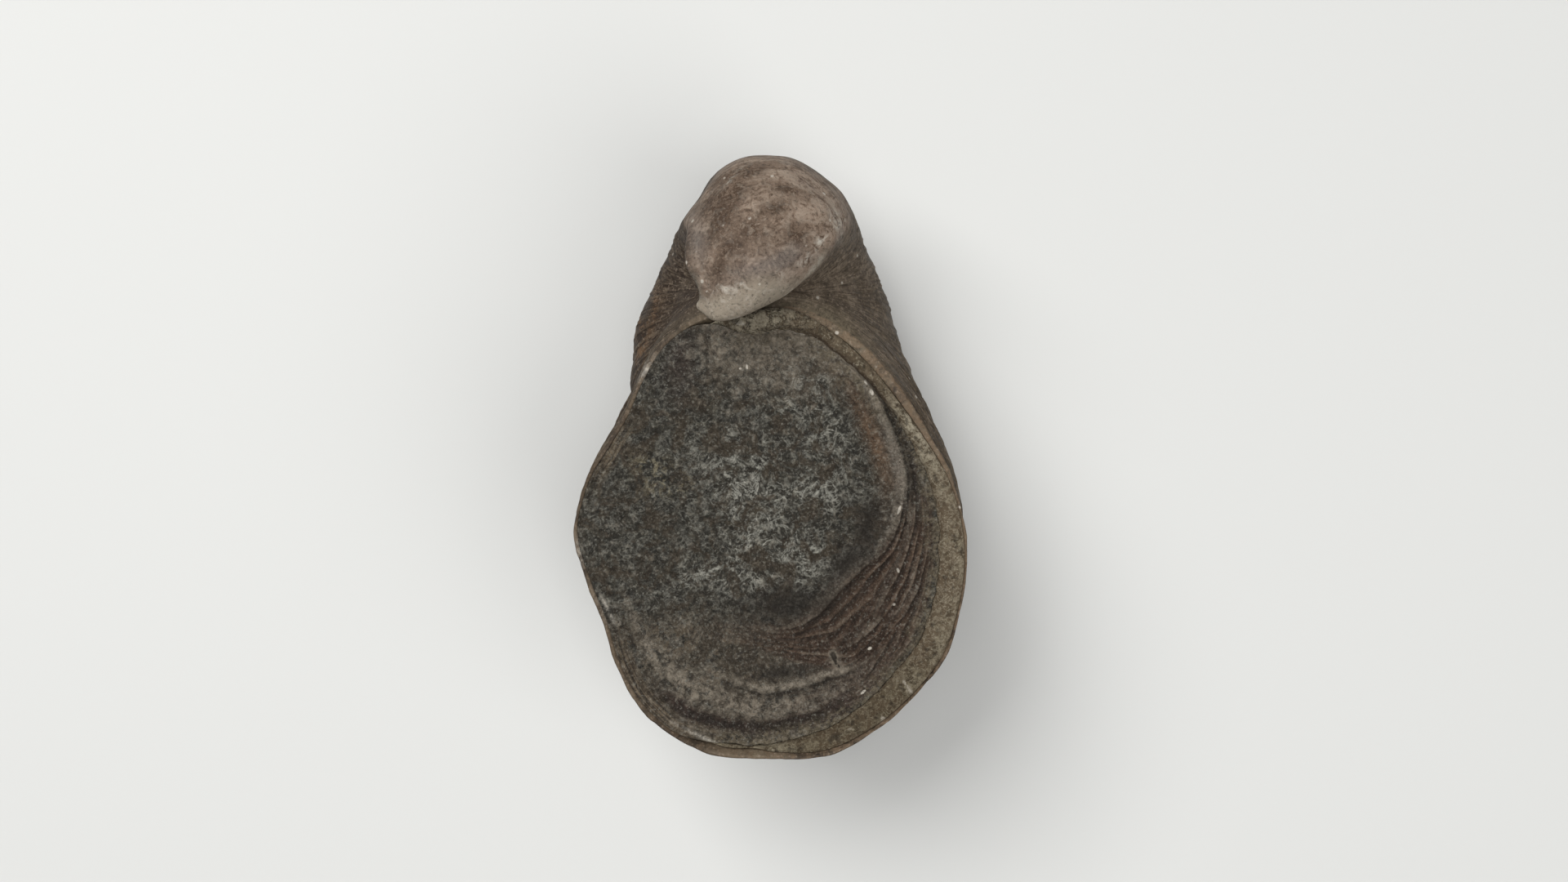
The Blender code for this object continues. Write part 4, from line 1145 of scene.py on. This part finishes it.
sand = new_finish(sediment, "sandy fill")
place = sand.place()
hollow = sand.mark("hollow")
patchy = place.cloud(2.6, 4.0, 0.65, 0.6)
clumps = place.cloud(1.5, 5.0, 0.7, 0.6)
grain = place.cloud(0.3, 3.0, 0.7)
surface = layered(
    clumps.between(0.40, 0.56).mix(SAND_DARK, SAND_OLIVE),
    (patchy.between(0.56, 0.44) * 0.85, SAND_BROWN),
    (sand.mark("foot") * clumps.between(0.34, 0.50) * 0.9, SAND_BROWN),
    (sand.mark("brow") * clumps.between(0.42, 0.58) * 0.3, SAND_BROWN),
    (sand.mark("upper") * clumps.between(0.42, 0.56) * 0.6, SAND_LIGHT),
    (place.threads(1.0, 0.05) * 0.35, SAND_LIGHT),
    # Painted shade: darker and browner towards the upper right.
    (sand.mark("olive") * 0.7, clumps.between(0.40, 0.60).mix(SAND_DARK, SAND_BROWN)),
    (grain.between(0.54, 0.68) * 0.6, SAND_LIGHT),
    (grain.between(0.48, 0.34) * 0.6, SAND_DARK),
    (sand.mark("lower"), LOWER_SHADE, "MULTIPLY"),
    (sand.mark("crumb") * place.threads(1.5, 0.03) * 0.8, GRIME_AND_SHADE),
    # Painted shade where the sand lies low and beside the lid at the upper right.
    (hollow.between(0.1, 0.9) * 0.6, GRIME_AND_SHADE),
    (sand.mark("gutter") * 0.5, FAN_DARK),
    (patchy.between(0.61, 0.68) * clumps.between(0.45, 0.6) * 0.5, FLECK_WHITE),
)
sand_roughness = grain.between(0.3, 0.7) * 0.1 + 0.85
sand_normal = sand.raised(grain + clumps, 0.2 * MM, 0.9)
finish(sediment, "sediment_fill", sand_roughness, surface, sand_normal)

# Floor. A plain pale sheet of paper, much wider than the picture. The fossil lies loose on it, on its worn
# underside.
FLOOR_SIZE = 3.0
FLOOR_ROUGHNESS = 0.9
PAPER_WHITE = colour(206, 206, 203)

sheet = bmesh.new()
bmesh.ops.create_grid(sheet, x_segments=1, y_segments=1, size=FLOOR_SIZE / 2)
floor_mesh = bpy.data.meshes.new("floor")
sheet.to_mesh(floor_mesh)
sheet.free()
floor = bpy.data.objects.new("floor", floor_mesh)
bpy.context.collection.objects.link(floor)
paper = bpy.data.materials.new("pale paper")
paper.use_nodes = True
paper_shader = paper.node_tree.nodes["Principled BSDF"]
paper_shader.inputs["Base Color"].default_value = PAPER_WHITE
paper_shader.inputs["Roughness"].default_value = FLOOR_ROUGHNESS
floor_mesh.materials.append(paper)

# Light. A wide soft lamp at the upper left, a weaker one opposite and one overhead, in a pale room. Each
# lamp's place and width are in metres, and its power is in watts.
LAMPS = (((-0.30, 0.28, 0.55), 0.45, 4.2), ((0.35, -0.25, 0.50), 0.50, 1.8), ((0.02, -0.05, 0.8), 0.4, 1.8))
LAMP_AIM = Vector((0, 0, 0.02))
ROOM_COLOUR = (0.80, 0.82, 0.85, 1)
ROOM_STRENGTH = 0.2

for number, (lamp_place, width, power) in enumerate(LAMPS):
    lamp = bpy.data.lights.new(f"lamp_{number}", "AREA")
    lamp.size = width
    lamp.energy = power
    lamp_object = bpy.data.objects.new(lamp.name, lamp)
    lamp_object.location = lamp_place
    beam = LAMP_AIM - Vector(lamp_place)
    lamp_object.rotation_euler = beam.to_track_quat("-Z", "Y").to_euler()
    bpy.context.collection.objects.link(lamp_object)
room = bpy.data.worlds.new("pale room")
bpy.context.scene.world = room
room.use_nodes = True
room_light = room.node_tree.nodes["Background"]
room_light.inputs["Color"].default_value = ROOM_COLOUR
room_light.inputs["Strength"].default_value = ROOM_STRENGTH
bpy.context.scene.view_settings.view_transform = "Standard"

# Camera. It looks straight down onto the lid, with the beak at the top of the picture, from about eight times
# the fossil's height.
CAMERA_PLACE = (1.57 * MM, 1.51 * MM, 288.46 * MM)
LENS = 50
NEAREST = 0.01

camera = bpy.data.cameras.new("camera")
camera.lens = LENS
camera.clip_start = NEAREST
camera_object = bpy.data.objects.new("camera", camera)
camera_object.location = CAMERA_PLACE
bpy.context.collection.objects.link(camera_object)
bpy.context.scene.camera = camera_object
